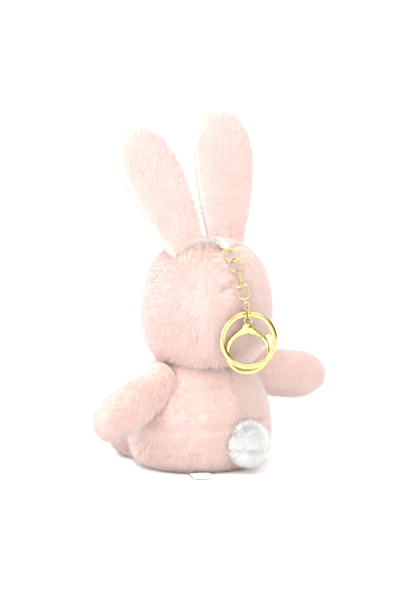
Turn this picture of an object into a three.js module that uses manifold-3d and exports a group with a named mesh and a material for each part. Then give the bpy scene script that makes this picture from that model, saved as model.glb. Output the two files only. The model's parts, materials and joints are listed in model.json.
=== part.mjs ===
// Plush rabbit keychain: a seated, stuffed rabbit with a satin loop sewn into its crown, and a chain of
// gold rings, a swivel, a split key ring and a round snap clasp hanging from the loop.
// Millimetres, +Z up. The face looks along -Y, the back along +Y, the rabbit's own left is +X.
// The origin is the middle of the flat seat.
import * as THREE from 'three';
import { mergeVertices } from 'three/addons/utils/BufferGeometryUtils.js';
import Module from 'manifold-3d';

const wasm = await Module();
wasm.setup();

// ---- driving dimensions ----
const GAP = 0.3; // clearance between pieces that touch
const RUNNING = 0.1; // clearance of a pin in its hole
const CLOTH = 1.2; // thickness of the plush backing

const BODY_WIDTH = 78;
const BODY_DEPTH = 71;
const BODY_BULGE_HEIGHT = 17; // where the body is widest
const SEAT_WIDTH = 60; // flat face that it sits on
const NECK_HEIGHT = 56; // plane where head and body are sewn together
const NECK_WIDTH = 47;

const HEAD_WIDTH = 68;
const HEAD_DEPTH = 64;
const HEAD_WIDEST_HEIGHT = 79;
const CROWN_RISE = 39; // crown above the widest level
const CHIN_DROP = 30; // rounding below the widest level, cut off by the neck
const HEAD_CENTRE = [-1.5, 3.5];

const ARM_WIDTH = 26;
const ARM_THICKNESS = 17;
const ARM_REACH = 56; // from the shoulder point to the tip of the hand
const SHOULDER = [24, 4, 47];

const EAR_LENGTH = 72.5;
const EAR_WIDTH = 40;
const EAR_THICKNESS = 9;
const EAR_SPACING = 13; // from the head's middle to each ear's root

const FOOT_WIDTH = 23;
const FOOT_LENGTH = 32;
const FOOT_SPACING = 18;

const TAIL_WIDTH = 22;
const TAIL_HEIGHT = 23;
const TAIL_DEPTH = 17;

const RIBBON_WIDTH = 4.4;
const RIBBON_THICKNESS = 0.45;

const RING_WIRE = 0.9;
const CHAIN_WIRE = 0.7;
const LOOP_RING_RADIUS = 3.9; // to the middle of the wire, as every ring radius here
const JUMP_RING_RADIUS = 3.7;
const END_RING_RADIUS = 3.0;
const CHAIN_LINK_RADIUS = 1.25;
const CHAIN_LINK_STRAIGHT = 1.4;
const SWIVEL_PLATE = 0.9;
const SWIVEL_PIN = 1.1;

const KEY_RING_DIAMETER = 30;
const KEY_RING_BAND = 2.8;
const KEY_RING_TURN = 0.8; // thickness of one of its two turns

const CLASP_LOOP = 24; // outer diameter
const CLASP_BAR = 2.4;
const CLASP_THICKNESS = 3;
const CLASP_HEAD_HEIGHT = 11.4; // middle of the round head above the middle of the loop
const CLASP_HEAD_RADIUS = 3.3;
const CLASP_EYE_RADIUS = 1.95;
const CLASP_PIN = 0.9;

const KEY_RING_LEAN = 4; // degrees: its lower edge stands off the clasp
const CLASP_LEAN = -4; // degrees: its lower edge lies back towards the head
const SPLIT_AT = 75; // degrees: where the split ring's free ends are, from its right side
const TURN_SPACING = 0.06; // between the split ring's two turns
const HANG_TURN = 140; // degrees: the metal parts hang towards this side of the head

// ---- finishes ----
function finish(color, roughness, metalness = 0) {
  return new THREE.MeshStandardMaterial({ color, roughness, metalness });
}
const pinkPlush = finish('#f9ddd4', 0.95);
const whitePlush = finish('#faf8f2', 0.95);
const filling = finish('#f4f1ea', 1);
const satin = finish('#f7f5f2', 0.5);
const gold = finish('#e6cf86', 0.2, 1);
const thread = finish('#5a4038', 0.8);
const noseThread = finish('#d98f86', 0.8);
const labelTape = finish('#f7f6f4', 0.7);

// ---- geometry helpers ----
const degrees = (value) => THREE.MathUtils.degToRad(value);
const along = (from, to, share) => from + (to - from) * share;

function solid(geometry) {
  const bare = geometry.clone();
  for (const name of Object.keys(bare.attributes)) {
    if (name !== 'position') bare.deleteAttribute(name);
  }
  const merged = mergeVertices(bare, 1e-4);
  const triVerts = new Uint32Array(merged.index.array);
  const vertProperties = new Float32Array(merged.attributes.position.array);
  if (signedVolume(vertProperties, triVerts) < 0) {
    for (let i = 0; i < triVerts.length; i += 3) {
      [triVerts[i], triVerts[i + 1]] = [triVerts[i + 1], triVerts[i]];
    }
  }
  return new wasm.Manifold(new wasm.Mesh({ numProp: 3, vertProperties, triVerts }));
}

function signedVolume(points, triangles) {
  const corner = (i) => new THREE.Vector3().fromArray(points, 3 * triangles[i]);
  let volume = 0;
  for (let i = 0; i < triangles.length; i += 3) {
    volume += corner(i).dot(corner(i + 1).cross(corner(i + 2))) / 6;
  }
  return volume;
}

function geometryOf(manifold) {
  const mesh = manifold.getMesh();
  const points = [];
  for (let i = 0; i < mesh.vertProperties.length; i += mesh.numProp) {
    points.push(mesh.vertProperties[i], mesh.vertProperties[i + 1], mesh.vertProperties[i + 2]);
  }
  const geometry = new THREE.BufferGeometry();
  geometry.setAttribute('position', new THREE.Float32BufferAttribute(points, 3));
  geometry.setIndex(new THREE.BufferAttribute(mesh.triVerts, 1));
  geometry.computeVertexNormals();
  return geometry;
}

const placed = (geometry, matrix) => geometry.clone().applyMatrix4(matrix);
const moved = (geometry, x, y, z) => geometry.clone().translate(x, y, z);

// A profile of [radius, height] pairs turned about Z and flattened front to back.
function turned(profile, around, depthShare = 1) {
  const geometry = new THREE.LatheGeometry(profile.map(([r, z]) => new THREE.Vector2(r, z)), around);
  geometry.rotateX(Math.PI / 2);
  return geometry.scale(1, depthShare, 1);
}

function smoothProfile(points, steps) {
  const curve = new THREE.SplineCurve(points.map(([r, z]) => new THREE.Vector2(r, z)));
  return curve.getPoints(steps).map((p) => [Math.max(p.x, 0), p.y]);
}

// A basis whose Z runs along the given direction and whose X stays as near as it can to the given side.
function frameAlong(origin, direction, side) {
  const z = direction.clone().normalize();
  const x = side.clone().addScaledVector(z, -side.dot(z)).normalize();
  const y = new THREE.Vector3().crossVectors(z, x);
  return new THREE.Matrix4().makeBasis(x, y, z).setPosition(origin);
}

const object = new THREE.Group();

function addPiece(name, geometry, material, parent = object) {
  const mesh = new THREE.Mesh(geometry, material);
  mesh.name = name;
  parent.add(mesh);
  return mesh;
}

// ---- head: an egg with fuller sides, cut off at the neck ----
// The powers of its oval outline: 2 is an ellipse, and more is squarer.
const LOWER_POWER = 2.2;
const UPPER_POWER = 2.6;

function headOutline(inset, floor, steps = 11) {
  const halfWidth = HEAD_WIDTH / 2 - inset;
  const rise = CROWN_RISE - inset;
  const drop = CHIN_DROP - inset;
  const lowerPower = 2 / LOWER_POWER;
  const upperPower = 2 / UPPER_POWER;
  const floorDepth = (HEAD_WIDEST_HEIGHT - floor) / drop;
  const startAngle = -Math.asin(floorDepth ** (1 / lowerPower));
  const outline = [];
  for (let i = 0; i <= steps; i += 1) {
    const angle = along(startAngle, Math.PI / 2, i / steps);
    const power = angle < 0 ? lowerPower : upperPower;
    const height = Math.abs(Math.sin(angle)) ** power * (angle < 0 ? -drop : rise);
    const radius = i === steps ? 0 : halfWidth * Math.cos(angle) ** power;
    outline.push([radius, HEAD_WIDEST_HEIGHT + height]);
  }
  return outline;
}

const AROUND = 24; // facets round the head and the body
const headDepthShare = HEAD_DEPTH / HEAD_WIDTH;
const headFloor = NECK_HEIGHT + GAP / 2;
const onHead = (geometry) => moved(geometry, HEAD_CENTRE[0], HEAD_CENTRE[1], 0);

function headShell() {
  const outer = headOutline(0, headFloor);
  const inner = headOutline(CLOTH, headFloor).reverse();
  return onHead(turned([...inner, ...outer], AROUND, headDepthShare));
}

function headFilling() {
  const outline = headOutline(CLOTH + GAP, headFloor + GAP);
  return onHead(turned([[0, headFloor + GAP], ...outline], AROUND, headDepthShare));
}

// The head grown by the clearance, which everything sewn onto it is trimmed by.
const blankFloor = headFloor - 1;
const headBlankOutline = [[0, blankFloor], ...headOutline(-GAP, blankFloor)];
const headBlank = solid(onHead(turned(headBlankOutline, AROUND, headDepthShare)));

// Distance from the head's middle plane to its skin in front of a point.
function headFrontAt(x, z) {
  const up = z > HEAD_WIDEST_HEIGHT;
  const level = Math.abs(z - HEAD_WIDEST_HEIGHT) / (up ? CROWN_RISE : CHIN_DROP);
  const power = up ? UPPER_POWER : LOWER_POWER;
  const girth = (1 - level ** power) ** (1 / power);
  const across = (x - HEAD_CENTRE[0]) / (HEAD_WIDTH / 2) / girth;
  return HEAD_CENTRE[1] - (HEAD_DEPTH / 2) * girth * Math.sqrt(1 - across * across);
}

addPiece('head_cover', headShell(), pinkPlush);
addPiece('head_filling', headFilling(), filling);

// ---- body: a sitting pear with a flat seat ----
const bodyDepthShare = BODY_DEPTH / BODY_WIDTH;
const bodyTop = NECK_HEIGHT - GAP / 2;

function bodyOutline(inset, steps = 10) {
  const half = BODY_WIDTH / 2;
  const seat = SEAT_WIDTH / 2;
  const span = NECK_HEIGHT - BODY_BULGE_HEIGHT;
  const neck = NECK_WIDTH / 2;
  const points = [
    [seat, 0],
    [along(seat, half, 0.62), BODY_BULGE_HEIGHT * 0.15],
    [along(seat, half, 0.9), BODY_BULGE_HEIGHT * 0.5],
    [half, BODY_BULGE_HEIGHT],
    [along(neck, half, 0.93), BODY_BULGE_HEIGHT + span * 0.3],
    [along(neck, half, 0.74), BODY_BULGE_HEIGHT + span * 0.55],
    [along(neck, half, 0.4), BODY_BULGE_HEIGHT + span * 0.78],
    [neck, bodyTop],
  ];
  const outline = smoothProfile(points, steps);
  const topLift = (z) => along(inset, 0, z / bodyTop);
  return outline.map(([r, z]) => [r - inset, z + topLift(z)]);
}

function bodyShell() {
  const inner = bodyOutline(CLOTH).reverse();
  return turned([[0, 0], ...bodyOutline(0), ...inner, [0, CLOTH]], AROUND, bodyDepthShare);
}

function bodyFilling() {
  const inner = bodyOutline(CLOTH + GAP);
  const rim = [inner.pop()[0], bodyTop - GAP];
  return turned([[0, CLOTH + GAP], ...inner, rim, [0, bodyTop - GAP]], AROUND, bodyDepthShare);
}

const bodyBlank = solid(turned([[0, -GAP], ...bodyOutline(-GAP), [0, bodyTop]], AROUND, bodyDepthShare));

addPiece('body_cover', bodyShell(), pinkPlush);
addPiece('body_filling', bodyFilling(), filling);

function trimmed(geometry, ...blanks) {
  return geometryOf(blanks.reduce((left, blank) => left.subtract(blank), solid(geometry)));
}

// ---- sewn limbs: a cover with an open root, and its filling ----
// Straight sides that end in a rounded tip.
function mittenOutline(length, rootHalf, handHalf, inset, rootStart) {
  const points = [
    [rootHalf - inset, rootStart],
    [along(rootHalf, handHalf, 0.3) - inset, length * 0.3],
    [handHalf - inset, length * 0.62],
    [handHalf * 0.86 - inset, length * 0.84],
    [handHalf * 0.5 - inset, (length - inset) * 0.965],
    [0, length - inset],
  ];
  return smoothProfile(points, 9);
}

const ARM_TILT = { left: [1, 0.1, -0.34], right: [-1, 0.1, -0.16] };
const ARM_BALL_START = 14; // the filling starts this far out, which leaves the arm room to lift at its seam

function buildArm(side) {
  const sign = side === 'left' ? 1 : -1;
  const shoulder = new THREE.Vector3(sign * SHOULDER[0], SHOULDER[1], SHOULDER[2]);
  const matrix = frameAlong(shoulder, new THREE.Vector3(...ARM_TILT[side]), new THREE.Vector3(0, 0, 1));
  const outlineOf = (inset) => mittenOutline(ARM_REACH, ARM_WIDTH * 0.46, ARM_WIDTH / 2, inset, 0);
  const coreOf = (inset) => mittenOutline(ARM_REACH, ARM_WIDTH * 0.4, ARM_WIDTH / 2, inset, ARM_BALL_START);
  const share = ARM_THICKNESS / ARM_WIDTH;
  const cover = turned([...outlineOf(CLOTH).reverse(), ...outlineOf(0)], 14, share);
  const core = coreOf(CLOTH + GAP);
  const padding = turned([[0, ARM_BALL_START - 2], ...core], 14, share);
  addPiece(`${side}_arm_cover`, trimmed(placed(cover, matrix), bodyBlank, headBlank), pinkPlush);
  addPiece(`${side}_arm_filling`, trimmed(placed(padding, matrix), bodyBlank, headBlank), filling);
}
buildArm('left');
buildArm('right');

// ---- ears: flat, round-tipped, gathered at the root ----
const EAR_LEAN = { left: [0.236, -0.382, 0.893], right: [-0.2, -0.262, 0.944] };
const EAR_SINK = { left: 5, right: 1 };

function earOutline(inset) {
  const half = EAR_WIDTH / 2;
  const points = [
    [half * 0.56 - inset, 0],
    [half * 0.68 - inset, EAR_LENGTH * 0.15],
    [half * 0.86 - inset, EAR_LENGTH * 0.34],
    [half * 0.985 - inset, EAR_LENGTH * 0.55],
    [half * 0.97 - inset, EAR_LENGTH * 0.74],
    [half * 0.74 - inset, EAR_LENGTH * 0.9],
    [half * 0.36 - inset * 0.6, EAR_LENGTH * 0.98 - inset],
    [0, EAR_LENGTH - inset],
  ];
  return smoothProfile(points, 11);
}

function buildEar(side) {
  const sign = side === 'left' ? 1 : -1;
  const direction = new THREE.Vector3(...EAR_LEAN[side]).normalize();
  const crown = HEAD_WIDEST_HEIGHT + CROWN_RISE - 2.5;
  const root = new THREE.Vector3(HEAD_CENTRE[0] + sign * EAR_SPACING, HEAD_CENTRE[1], crown);
  root.addScaledVector(direction, -EAR_SINK[side]);
  const matrix = frameAlong(root, direction, new THREE.Vector3(1, 0, 0));
  const share = EAR_THICKNESS / EAR_WIDTH;
  const cover = turned([...earOutline(CLOTH * 0.8).reverse(), ...earOutline(0)], 16, share);
  addPiece(`${side}_ear_cover`, trimmed(placed(cover, matrix), headBlank), pinkPlush);
  const padding = turned([[0, 7], ...earOutline(CLOTH + GAP).filter(([, z]) => z > 9)], 12, share * 0.78);
  addPiece(`${side}_ear_padding`, trimmed(placed(padding, matrix), headBlank), filling);
}
buildEar('left');
buildEar('right');

// ---- feet and tail: stuffed ovals trimmed to the body ----
function ovalOutline(halfWidth, halfLength, steps = 8) {
  const outline = [];
  for (let i = 0; i <= steps; i += 1) {
    const angle = along(-Math.PI / 2, Math.PI / 2, i / steps);
    const radius = i === 0 || i === steps ? 0 : halfWidth * Math.cos(angle) ** 0.9;
    outline.push([radius, halfLength * Math.sin(angle)]);
  }
  return outline;
}

for (const [side, sign] of [['left', 1], ['right', -1]]) {
  const halfWidth = FOOT_WIDTH / 2;
  const middle = new THREE.Vector3(sign * FOOT_SPACING, -(BODY_DEPTH / 2) + 2, halfWidth + GAP);
  const direction = new THREE.Vector3(sign * 0.2, -1, 0);
  const matrix = frameAlong(middle, direction, new THREE.Vector3(1, 0, 0));
  const foot = placed(turned(ovalOutline(halfWidth, FOOT_LENGTH / 2), 16), matrix);
  addPiece(`${side}_foot`, trimmed(foot, bodyBlank), pinkPlush);
}

const tailGeometry = turned(ovalOutline(TAIL_WIDTH / 2, TAIL_HEIGHT / 2), 16, TAIL_DEPTH / TAIL_WIDTH);
const tailAt = moved(tailGeometry, 0, BODY_DEPTH / 2 + 5, TAIL_HEIGHT / 2 + 4.5);
addPiece('tail', trimmed(tailAt, bodyBlank), whitePlush);

// ---- face: two oval eyes and a small nose, worked in thread ----
function faceStitch(name, x, z, halfWidth, halfHeight, material) {
  const y = headFrontAt(x, z);
  const dome = turned(ovalOutline(halfWidth, halfHeight, 6), 10, 1.6 / halfWidth);
  addPiece(name, trimmed(moved(dome, x, y, z), headBlank), material);
}
const EYE_HEIGHT = 83;
const EYE_SPACING = 13;
faceStitch('left_eye', HEAD_CENTRE[0] + EYE_SPACING, EYE_HEIGHT, 2.1, 2.8, thread);
faceStitch('right_eye', HEAD_CENTRE[0] - EYE_SPACING, EYE_HEIGHT, 2.1, 2.8, thread);
faceStitch('nose', HEAD_CENTRE[0], EYE_HEIGHT - 7, 2.6, 1.7, noseThread);

// ---- care label: a folded tape that sticks out of the seat seam ----
const LABEL = { long: 13, wide: 11, thick: 0.7, level: 0.4, turn: 62 };
const LABEL_SHIFT = 16;
const labelAt = [LABEL_SHIFT, (SEAT_WIDTH / 2) * (BODY_DEPTH / BODY_WIDTH) - LABEL.thick];
const labelBlock = new THREE.BoxGeometry(LABEL.long, LABEL.wide, LABEL.thick);
labelBlock.translate(LABEL.long / 2, -LABEL.wide / 2, LABEL.level + LABEL.thick / 2);
labelBlock.rotateZ(degrees(LABEL.turn)).translate(labelAt[0], labelAt[1], 0);
addPiece('care_label', trimmed(labelBlock, bodyBlank), labelTape);

// ---- metal parts: every ring is placed from the one before it ----
// In this group +X runs across the hanging ring, -Y points away from the head.
const metal = new THREE.Group();
metal.rotation.z = degrees(HANG_TURN);
object.add(metal);
metal.updateMatrix();
const intoMetal = metal.matrix.clone().invert();
const headInMetal = headBlank.transform(intoMetal.elements);

// A ring or long link in its own XZ plane: its length along Z, its plane's normal along Y.
function linkGeometry(radius, straight, wire, around = 20) {
  const geometry = new THREE.TorusGeometry(radius, wire / 2, 6, around);
  geometry.rotateZ(Math.PI / around);
  const position = geometry.attributes.position;
  for (let i = 0; i < position.count; i += 1) {
    position.setY(i, position.getY(i) + (Math.sign(position.getY(i)) * straight) / 2);
  }
  return geometry.rotateX(Math.PI / 2);
}

// The frame of a link: its middle, plane normal, and the direction in which it pulls.
function linkFrame(middle, normal, pull) {
  const z = pull.clone().negate();
  const x = new THREE.Vector3().crossVectors(normal, z);
  return new THREE.Matrix4().makeBasis(x, normal, z).setPosition(middle);
}

// The next link hangs on the wire of the one before. swing turns it about that wire, twist turns it about
// its own length, and round moves the place on its wire that holds the link after it.
function nextLink(hold, size, swing, twist, round) {
  const pull = hold.out.clone().applyAxisAngle(hold.wireAlong, degrees(swing));
  const normal = hold.wireAlong.clone().applyAxisAngle(pull, degrees(twist));
  const offset = (hold.wire + size.wire) / 2 + GAP;
  const topWire = hold.point.clone().addScaledVector(pull, -offset);
  const middle = topWire.clone().addScaledVector(pull, size.radius + size.straight / 2);
  const out = pull.clone().applyAxisAngle(normal, degrees(round));
  const point = middle.clone().addScaledVector(pull, size.straight / 2).addScaledVector(out, size.radius);
  const wireAlong = new THREE.Vector3().crossVectors(normal, out);
  const matrix = linkFrame(middle, normal, pull);
  return { middle, normal, pull, out, point, wireAlong, wire: size.wire, matrix };
}

function addLink(name, link, size) {
  addPiece(name, placed(linkGeometry(size.radius, size.straight, size.wire), link.matrix), gold, metal);
}

const LOOP_RING_TILT = [0.45, 0.05, 1]; // its plane's normal
const LOOP_RING_PLACE = [13.3, -18.6, -1.3]; // from the middle of the head at crown height
const loopRingNormal = new THREE.Vector3(...LOOP_RING_TILT).normalize();
const loopRingMiddle = new THREE.Vector3(...LOOP_RING_PLACE);
loopRingMiddle.z += HEAD_WIDEST_HEIGHT + CROWN_RISE;

function holdOnLoopRing(turn) {
  const across = new THREE.Vector3(1, 0, 0).addScaledVector(loopRingNormal, -loopRingNormal.x).normalize();
  const out = across.applyAxisAngle(loopRingNormal, degrees(turn));
  const point = loopRingMiddle.clone().addScaledVector(out, LOOP_RING_RADIUS);
  return { out, point, wireAlong: new THREE.Vector3().crossVectors(loopRingNormal, out), wire: RING_WIRE };
}
const loopRingFrame = linkFrame(loopRingMiddle, loopRingNormal, holdOnLoopRing(0).out);
addPiece('loop_ring', placed(linkGeometry(LOOP_RING_RADIUS, 0, RING_WIRE), loopRingFrame), gold, metal);

const jumpRing = { radius: JUMP_RING_RADIUS, straight: 0, wire: RING_WIRE };
const chainLink = { radius: CHAIN_LINK_RADIUS, straight: CHAIN_LINK_STRAIGHT, wire: CHAIN_WIRE };
const endRing = { radius: END_RING_RADIUS, straight: 0, wire: RING_WIRE };

const jumpRing1 = nextLink(holdOnLoopRing(-40), jumpRing, 34, -16, 5);
addLink('jump_ring_1', jumpRing1, jumpRing);
const jumpRing2 = nextLink(jumpRing1, jumpRing, -9, 52, 3);
addLink('jump_ring_2', jumpRing2, jumpRing);

// ---- swivel: two loops on plates, held by one riveted pin ----
// Each loop stands on its plate: the plate's middle is the origin and the loop rises along +Z.
function swivelLoop(radius, straight, wire) {
  const arch = new THREE.CurvePath();
  const left = new THREE.Vector3(-radius, 0, -0.1);
  const leftTop = new THREE.Vector3(-radius, 0, straight);
  arch.add(new THREE.LineCurve3(left, leftTop));
  const bow = [];
  for (let i = 0; i <= 8; i += 1) {
    const angle = along(Math.PI, 0, i / 8);
    bow.push(new THREE.Vector3(radius * Math.cos(angle), 0, straight + radius * Math.sin(angle)));
  }
  arch.add(new THREE.CatmullRomCurve3(bow));
  arch.add(new THREE.LineCurve3(new THREE.Vector3(radius, 0, straight), new THREE.Vector3(radius, 0, -0.1)));
  const section = new THREE.Shape();
  for (let i = 0; i < 6; i += 1) {
    const angle = (i / 6) * 2 * Math.PI;
    const place = [(wire / 2) * Math.cos(angle), (wire / 2) * Math.sin(angle)];
    if (i === 0) section.moveTo(...place);
    else section.lineTo(...place);
  }
  const bent = new THREE.ExtrudeGeometry(section, { steps: 18, extrudePath: arch, bevelEnabled: false });
  const width = 2 * radius + wire;
  const plate = new THREE.CylinderGeometry(width / 2, width / 2, SWIVEL_PLATE, 16).rotateX(Math.PI / 2);
  plate.scale(1, (1.1 + wire) / width, 1);
  const hole = new THREE.CylinderGeometry(SWIVEL_PIN / 2 + RUNNING, SWIVEL_PIN / 2 + RUNNING, 4, 12);
  return geometryOf(solid(bent).add(solid(plate)).subtract(solid(hole.rotateX(Math.PI / 2))));
}

const SWIVEL_WIRE = 0.8;
const UPPER_LOOP = { radius: 1.4, straight: 5.2 };
const LOWER_LOOP = { radius: 2.95, straight: 3.9 };
const SWIVEL_STANDOFF = 2.1; // from the middle of one plate to the middle of the other

const upperBow = { radius: UPPER_LOOP.radius, straight: 0, wire: SWIVEL_WIRE };
const upperHang = nextLink(jumpRing2, upperBow, -8, 4, 0);
const swivelPull = upperHang.pull;
const upperPlate = upperHang.middle.clone().addScaledVector(swivelPull, UPPER_LOOP.straight);
const lowerPlate = upperPlate.clone().addScaledVector(swivelPull, SWIVEL_STANDOFF);
const faceOut = new THREE.Vector3(0, -1, 0);
const lowerNormal = faceOut.clone().addScaledVector(swivelPull, -faceOut.dot(swivelPull)).normalize();

const upperLoop = swivelLoop(UPPER_LOOP.radius, UPPER_LOOP.straight, SWIVEL_WIRE);
const upperFrame = linkFrame(upperPlate, upperHang.normal, swivelPull);
addPiece('swivel_upper_loop', placed(upperLoop, upperFrame), gold, metal);
const lowerLoop = swivelLoop(LOWER_LOOP.radius, LOWER_LOOP.straight, SWIVEL_WIRE);
const lowerFrame = linkFrame(lowerPlate, lowerNormal, swivelPull.clone().negate());
addPiece('swivel_lower_loop', placed(lowerLoop, lowerFrame), gold, metal);

// A rivet along Z with a head beyond each plate.
function rivetProfile(spread, shank, head, headHeight) {
  const half = spread / 2;
  const top = half + headHeight;
  const upper = [[shank, half], [head, half], [head, top], [0, top]];
  const lower = upper.map(([r, z]) => [r, -z]).reverse();
  return [...lower, ...upper];
}
const pinSpread = SWIVEL_STANDOFF + SWIVEL_PLATE + 2 * RUNNING;
const RIVET_RIM = 0.28;
const RIVET_HEAD = 0.5;
const pinOutline = rivetProfile(pinSpread, SWIVEL_PIN / 2, SWIVEL_PIN / 2 + RIVET_RIM, RIVET_HEAD);
const swivelPin = turned(pinOutline, 12);
const pinMiddle = upperPlate.clone().lerp(lowerPlate, 0.5);
addPiece('swivel_pin', placed(swivelPin, linkFrame(pinMiddle, upperHang.normal, swivelPull)), gold, metal);

// ---- two small chain links and the end ring ----
const lowerReach = LOWER_LOOP.straight + LOWER_LOOP.radius;
const lowerHold = {
  out: swivelPull,
  point: lowerPlate.clone().addScaledVector(swivelPull, lowerReach),
  wireAlong: new THREE.Vector3().crossVectors(lowerNormal, swivelPull),
  wire: SWIVEL_WIRE,
};
const chainLink1 = nextLink(lowerHold, chainLink, 6, 12, 0);
addLink('chain_link_1', chainLink1, chainLink);
const chainLink2 = nextLink(chainLink1, chainLink, 6, -8, 0);
addLink('chain_link_2', chainLink2, chainLink);
const end = nextLink(chainLink2, endRing, 0, -15, 0);
addLink('end_ring', end, endRing);

// The key ring and the eye of the clasp lie side by side on the inside of the end ring's lowest point.
const endFront = new THREE.Vector3().crossVectors(end.normal, end.pull);
if (endFront.y > 0) endFront.negate();
const down = new THREE.Vector3(0, 0, -1);
const levelFront = endFront.clone().setZ(0).normalize();
const leanAxis = new THREE.Vector3().crossVectors(down, levelFront);
const hanging = (lean) => down.clone().applyAxisAngle(leanAxis, degrees(lean));
const facing = (lean) => levelFront.clone().applyAxisAngle(leanAxis, degrees(lean));
const endInside = END_RING_RADIUS - RING_WIRE / 2 - GAP;
const keyRingThickness = 2 * KEY_RING_TURN + TURN_SPACING;
const KEY_RING_SHIFT = 0.08; // back from where its rear face would pass through the end ring's middle
const keyRingForward = keyRingThickness / 2 - KEY_RING_SHIFT;
const eyeBack = keyRingThickness / 2 - keyRingForward + GAP + RING_WIRE / 2;

function insideEndRing(forward, depth) {
  const place = end.middle.clone().addScaledVector(endFront, forward);
  return place.addScaledVector(end.pull, depth);
}

// ---- split key ring: a flat band wound twice, with one step from the first turn to the second ----
function splitRing() {
  const radius = (KEY_RING_DIAMETER - KEY_RING_BAND) / 2;
  const stepShare = 0.06; // of one turn, over which the wire steps across
  const endGap = 0.005; // of one turn, left between the second end and the step
  const turns = 2 - stepShare - endGap;
  const band = new THREE.BoxGeometry(1, KEY_RING_BAND, KEY_RING_TURN, 68, 1, 1);
  const position = band.attributes.position;
  for (let i = 0; i < position.count; i += 1) {
    const turn = (position.getX(i) + 0.5) * turns;
    const angle = degrees(SPLIT_AT) - turn * 2 * Math.PI;
    const rise = THREE.MathUtils.smoothstep(turn, 1 - stepShare, 1) - 0.5;
    const reach = radius + position.getY(i);
    const level = position.getZ(i) + rise * (KEY_RING_TURN + TURN_SPACING);
    position.setXYZ(i, reach * Math.cos(angle), level, reach * Math.sin(angle));
  }
  return band;
}
const bandDepth = Math.sqrt(endInside ** 2 - (keyRingForward + keyRingThickness / 2) ** 2);
const keyRingHold = insideEndRing(keyRingForward, bandDepth);
const keyRingInner = KEY_RING_DIAMETER / 2 - KEY_RING_BAND;
const keyRingMiddle = keyRingHold.clone().addScaledVector(hanging(KEY_RING_LEAN), keyRingInner);
const keyRingFrame = linkFrame(keyRingMiddle, facing(KEY_RING_LEAN), hanging(KEY_RING_LEAN));
addPiece('key_ring', geometryOf(solid(placed(splitRing(), keyRingFrame))), gold, metal);

// ---- round snap clasp: its own plane is XZ, the middle of its loop is the origin ----
const loopOuter = CLASP_LOOP / 2;
const loopInner = loopOuter - CLASP_BAR;
const shoulderTurn = Math.asin((loopOuter - CLASP_HEAD_RADIUS) / CLASP_HEAD_HEIGHT);

function claspPlate() {
  const outline = new THREE.Shape();
  outline.absarc(0, 0, loopOuter, shoulderTurn, Math.PI - shoulderTurn, true);
  outline.absarc(0, CLASP_HEAD_HEIGHT, CLASP_HEAD_RADIUS, Math.PI - shoulderTurn, shoulderTurn, true);
  const hole = new THREE.Path();
  hole.absarc(0, 0, loopInner, 0, 2 * Math.PI, false);
  outline.holes.push(hole);
  const edge = 0.8;
  const settings = { depth: CLASP_THICKNESS - 2 * edge, curveSegments: 22, bevelEnabled: true };
  Object.assign(settings, { bevelThickness: edge, bevelSize: edge, bevelOffset: -edge, bevelSegments: 2 });
  const plate = new THREE.ExtrudeGeometry(outline, settings);
  return plate.translate(0, 0, -settings.depth / 2).rotateX(Math.PI / 2);
}

// A flat prism in the clasp's plane, from corner points, as thick as asked and centred on a level.
function prism(points, thickness, level = 0) {
  const shape = new THREE.Shape(points.map(([x, z]) => new THREE.Vector2(x, z)));
  const block = new THREE.ExtrudeGeometry(shape, { depth: thickness, bevelEnabled: false, curveSegments: 4 });
  return solid(block.translate(0, 0, -level - thickness / 2).rotateX(Math.PI / 2));
}
function disc(centre, radius, thickness, level = 0, around = 14) {
  const round = new THREE.CylinderGeometry(radius, radius, thickness, around);
  return solid(round.translate(centre[0], level, centre[1]));
}
const polar = (radius, turn) => [radius * Math.cos(degrees(turn)), radius * Math.sin(degrees(turn))];

function sector(fromTurn, toTurn) {
  const points = [[0, 0]];
  for (let i = 0; i <= 4; i += 1) points.push(polar(loopOuter * 1.5, along(fromTurn, toTurn, i / 4)));
  return prism(points, CLASP_THICKNESS + 2);
}

const GATE_LOW = -26;
const GATE_HIGH = 49;
const PIVOT_TURN = 66;
const pivot = polar(loopInner + CLASP_BAR * 0.62, PIVOT_TURN);
const KNUCKLE = 1.35;
const KNUCKLE_THICKNESS = 0.85;
const KNUCKLE_LEVEL = 0.4; // towards the head's side, which leaves room for the spring
const SLOT = 2.1;
const openTurn = (GAP / loopOuter / Math.PI) * 180;

const loopPlate = solid(claspPlate());
const eyeHeight = CLASP_HEAD_HEIGHT + CLASP_HEAD_RADIUS + CLASP_EYE_RADIUS;
const eye = solid(linkGeometry(CLASP_EYE_RADIUS, 0, RING_WIRE, 16).translate(0, 0, eyeHeight));
const tongueEnd = polar(loopInner + CLASP_BAR / 2, GATE_HIGH - 6);
function tongue(halfWidth, thickness, level) {
  const [dx, dz] = [tongueEnd[0] - pivot[0], tongueEnd[1] - pivot[1]];
  const length = Math.hypot(dx, dz);
  const [nx, nz] = [(-dz / length) * halfWidth, (dx / length) * halfWidth];
  const corners = [
    [pivot[0] + nx, pivot[1] + nz],
    [pivot[0] - nx, pivot[1] - nz],
    [tongueEnd[0] - nx, tongueEnd[1] - nz],
    [tongueEnd[0] + nx, tongueEnd[1] + nz],
  ];
  return prism(corners, thickness, level);
}
const slot = disc(pivot, KNUCKLE + 2 * GAP, SLOT, 0, 18).add(tongue(KNUCKLE + GAP, SLOT, 0));
const slotRoom = prism([pivot, polar(loopInner - 2, PIVOT_TURN + 8), polar(loopInner - 2, GATE_HIGH)], SLOT);
const pinHole = disc(pivot, CLASP_PIN / 2 + RUNNING, CLASP_THICKNESS + 2, 0, 12);
const claspBody = loopPlate.add(eye).subtract(sector(GATE_LOW, GATE_HIGH)).subtract(slot).subtract(slotRoom);

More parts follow.
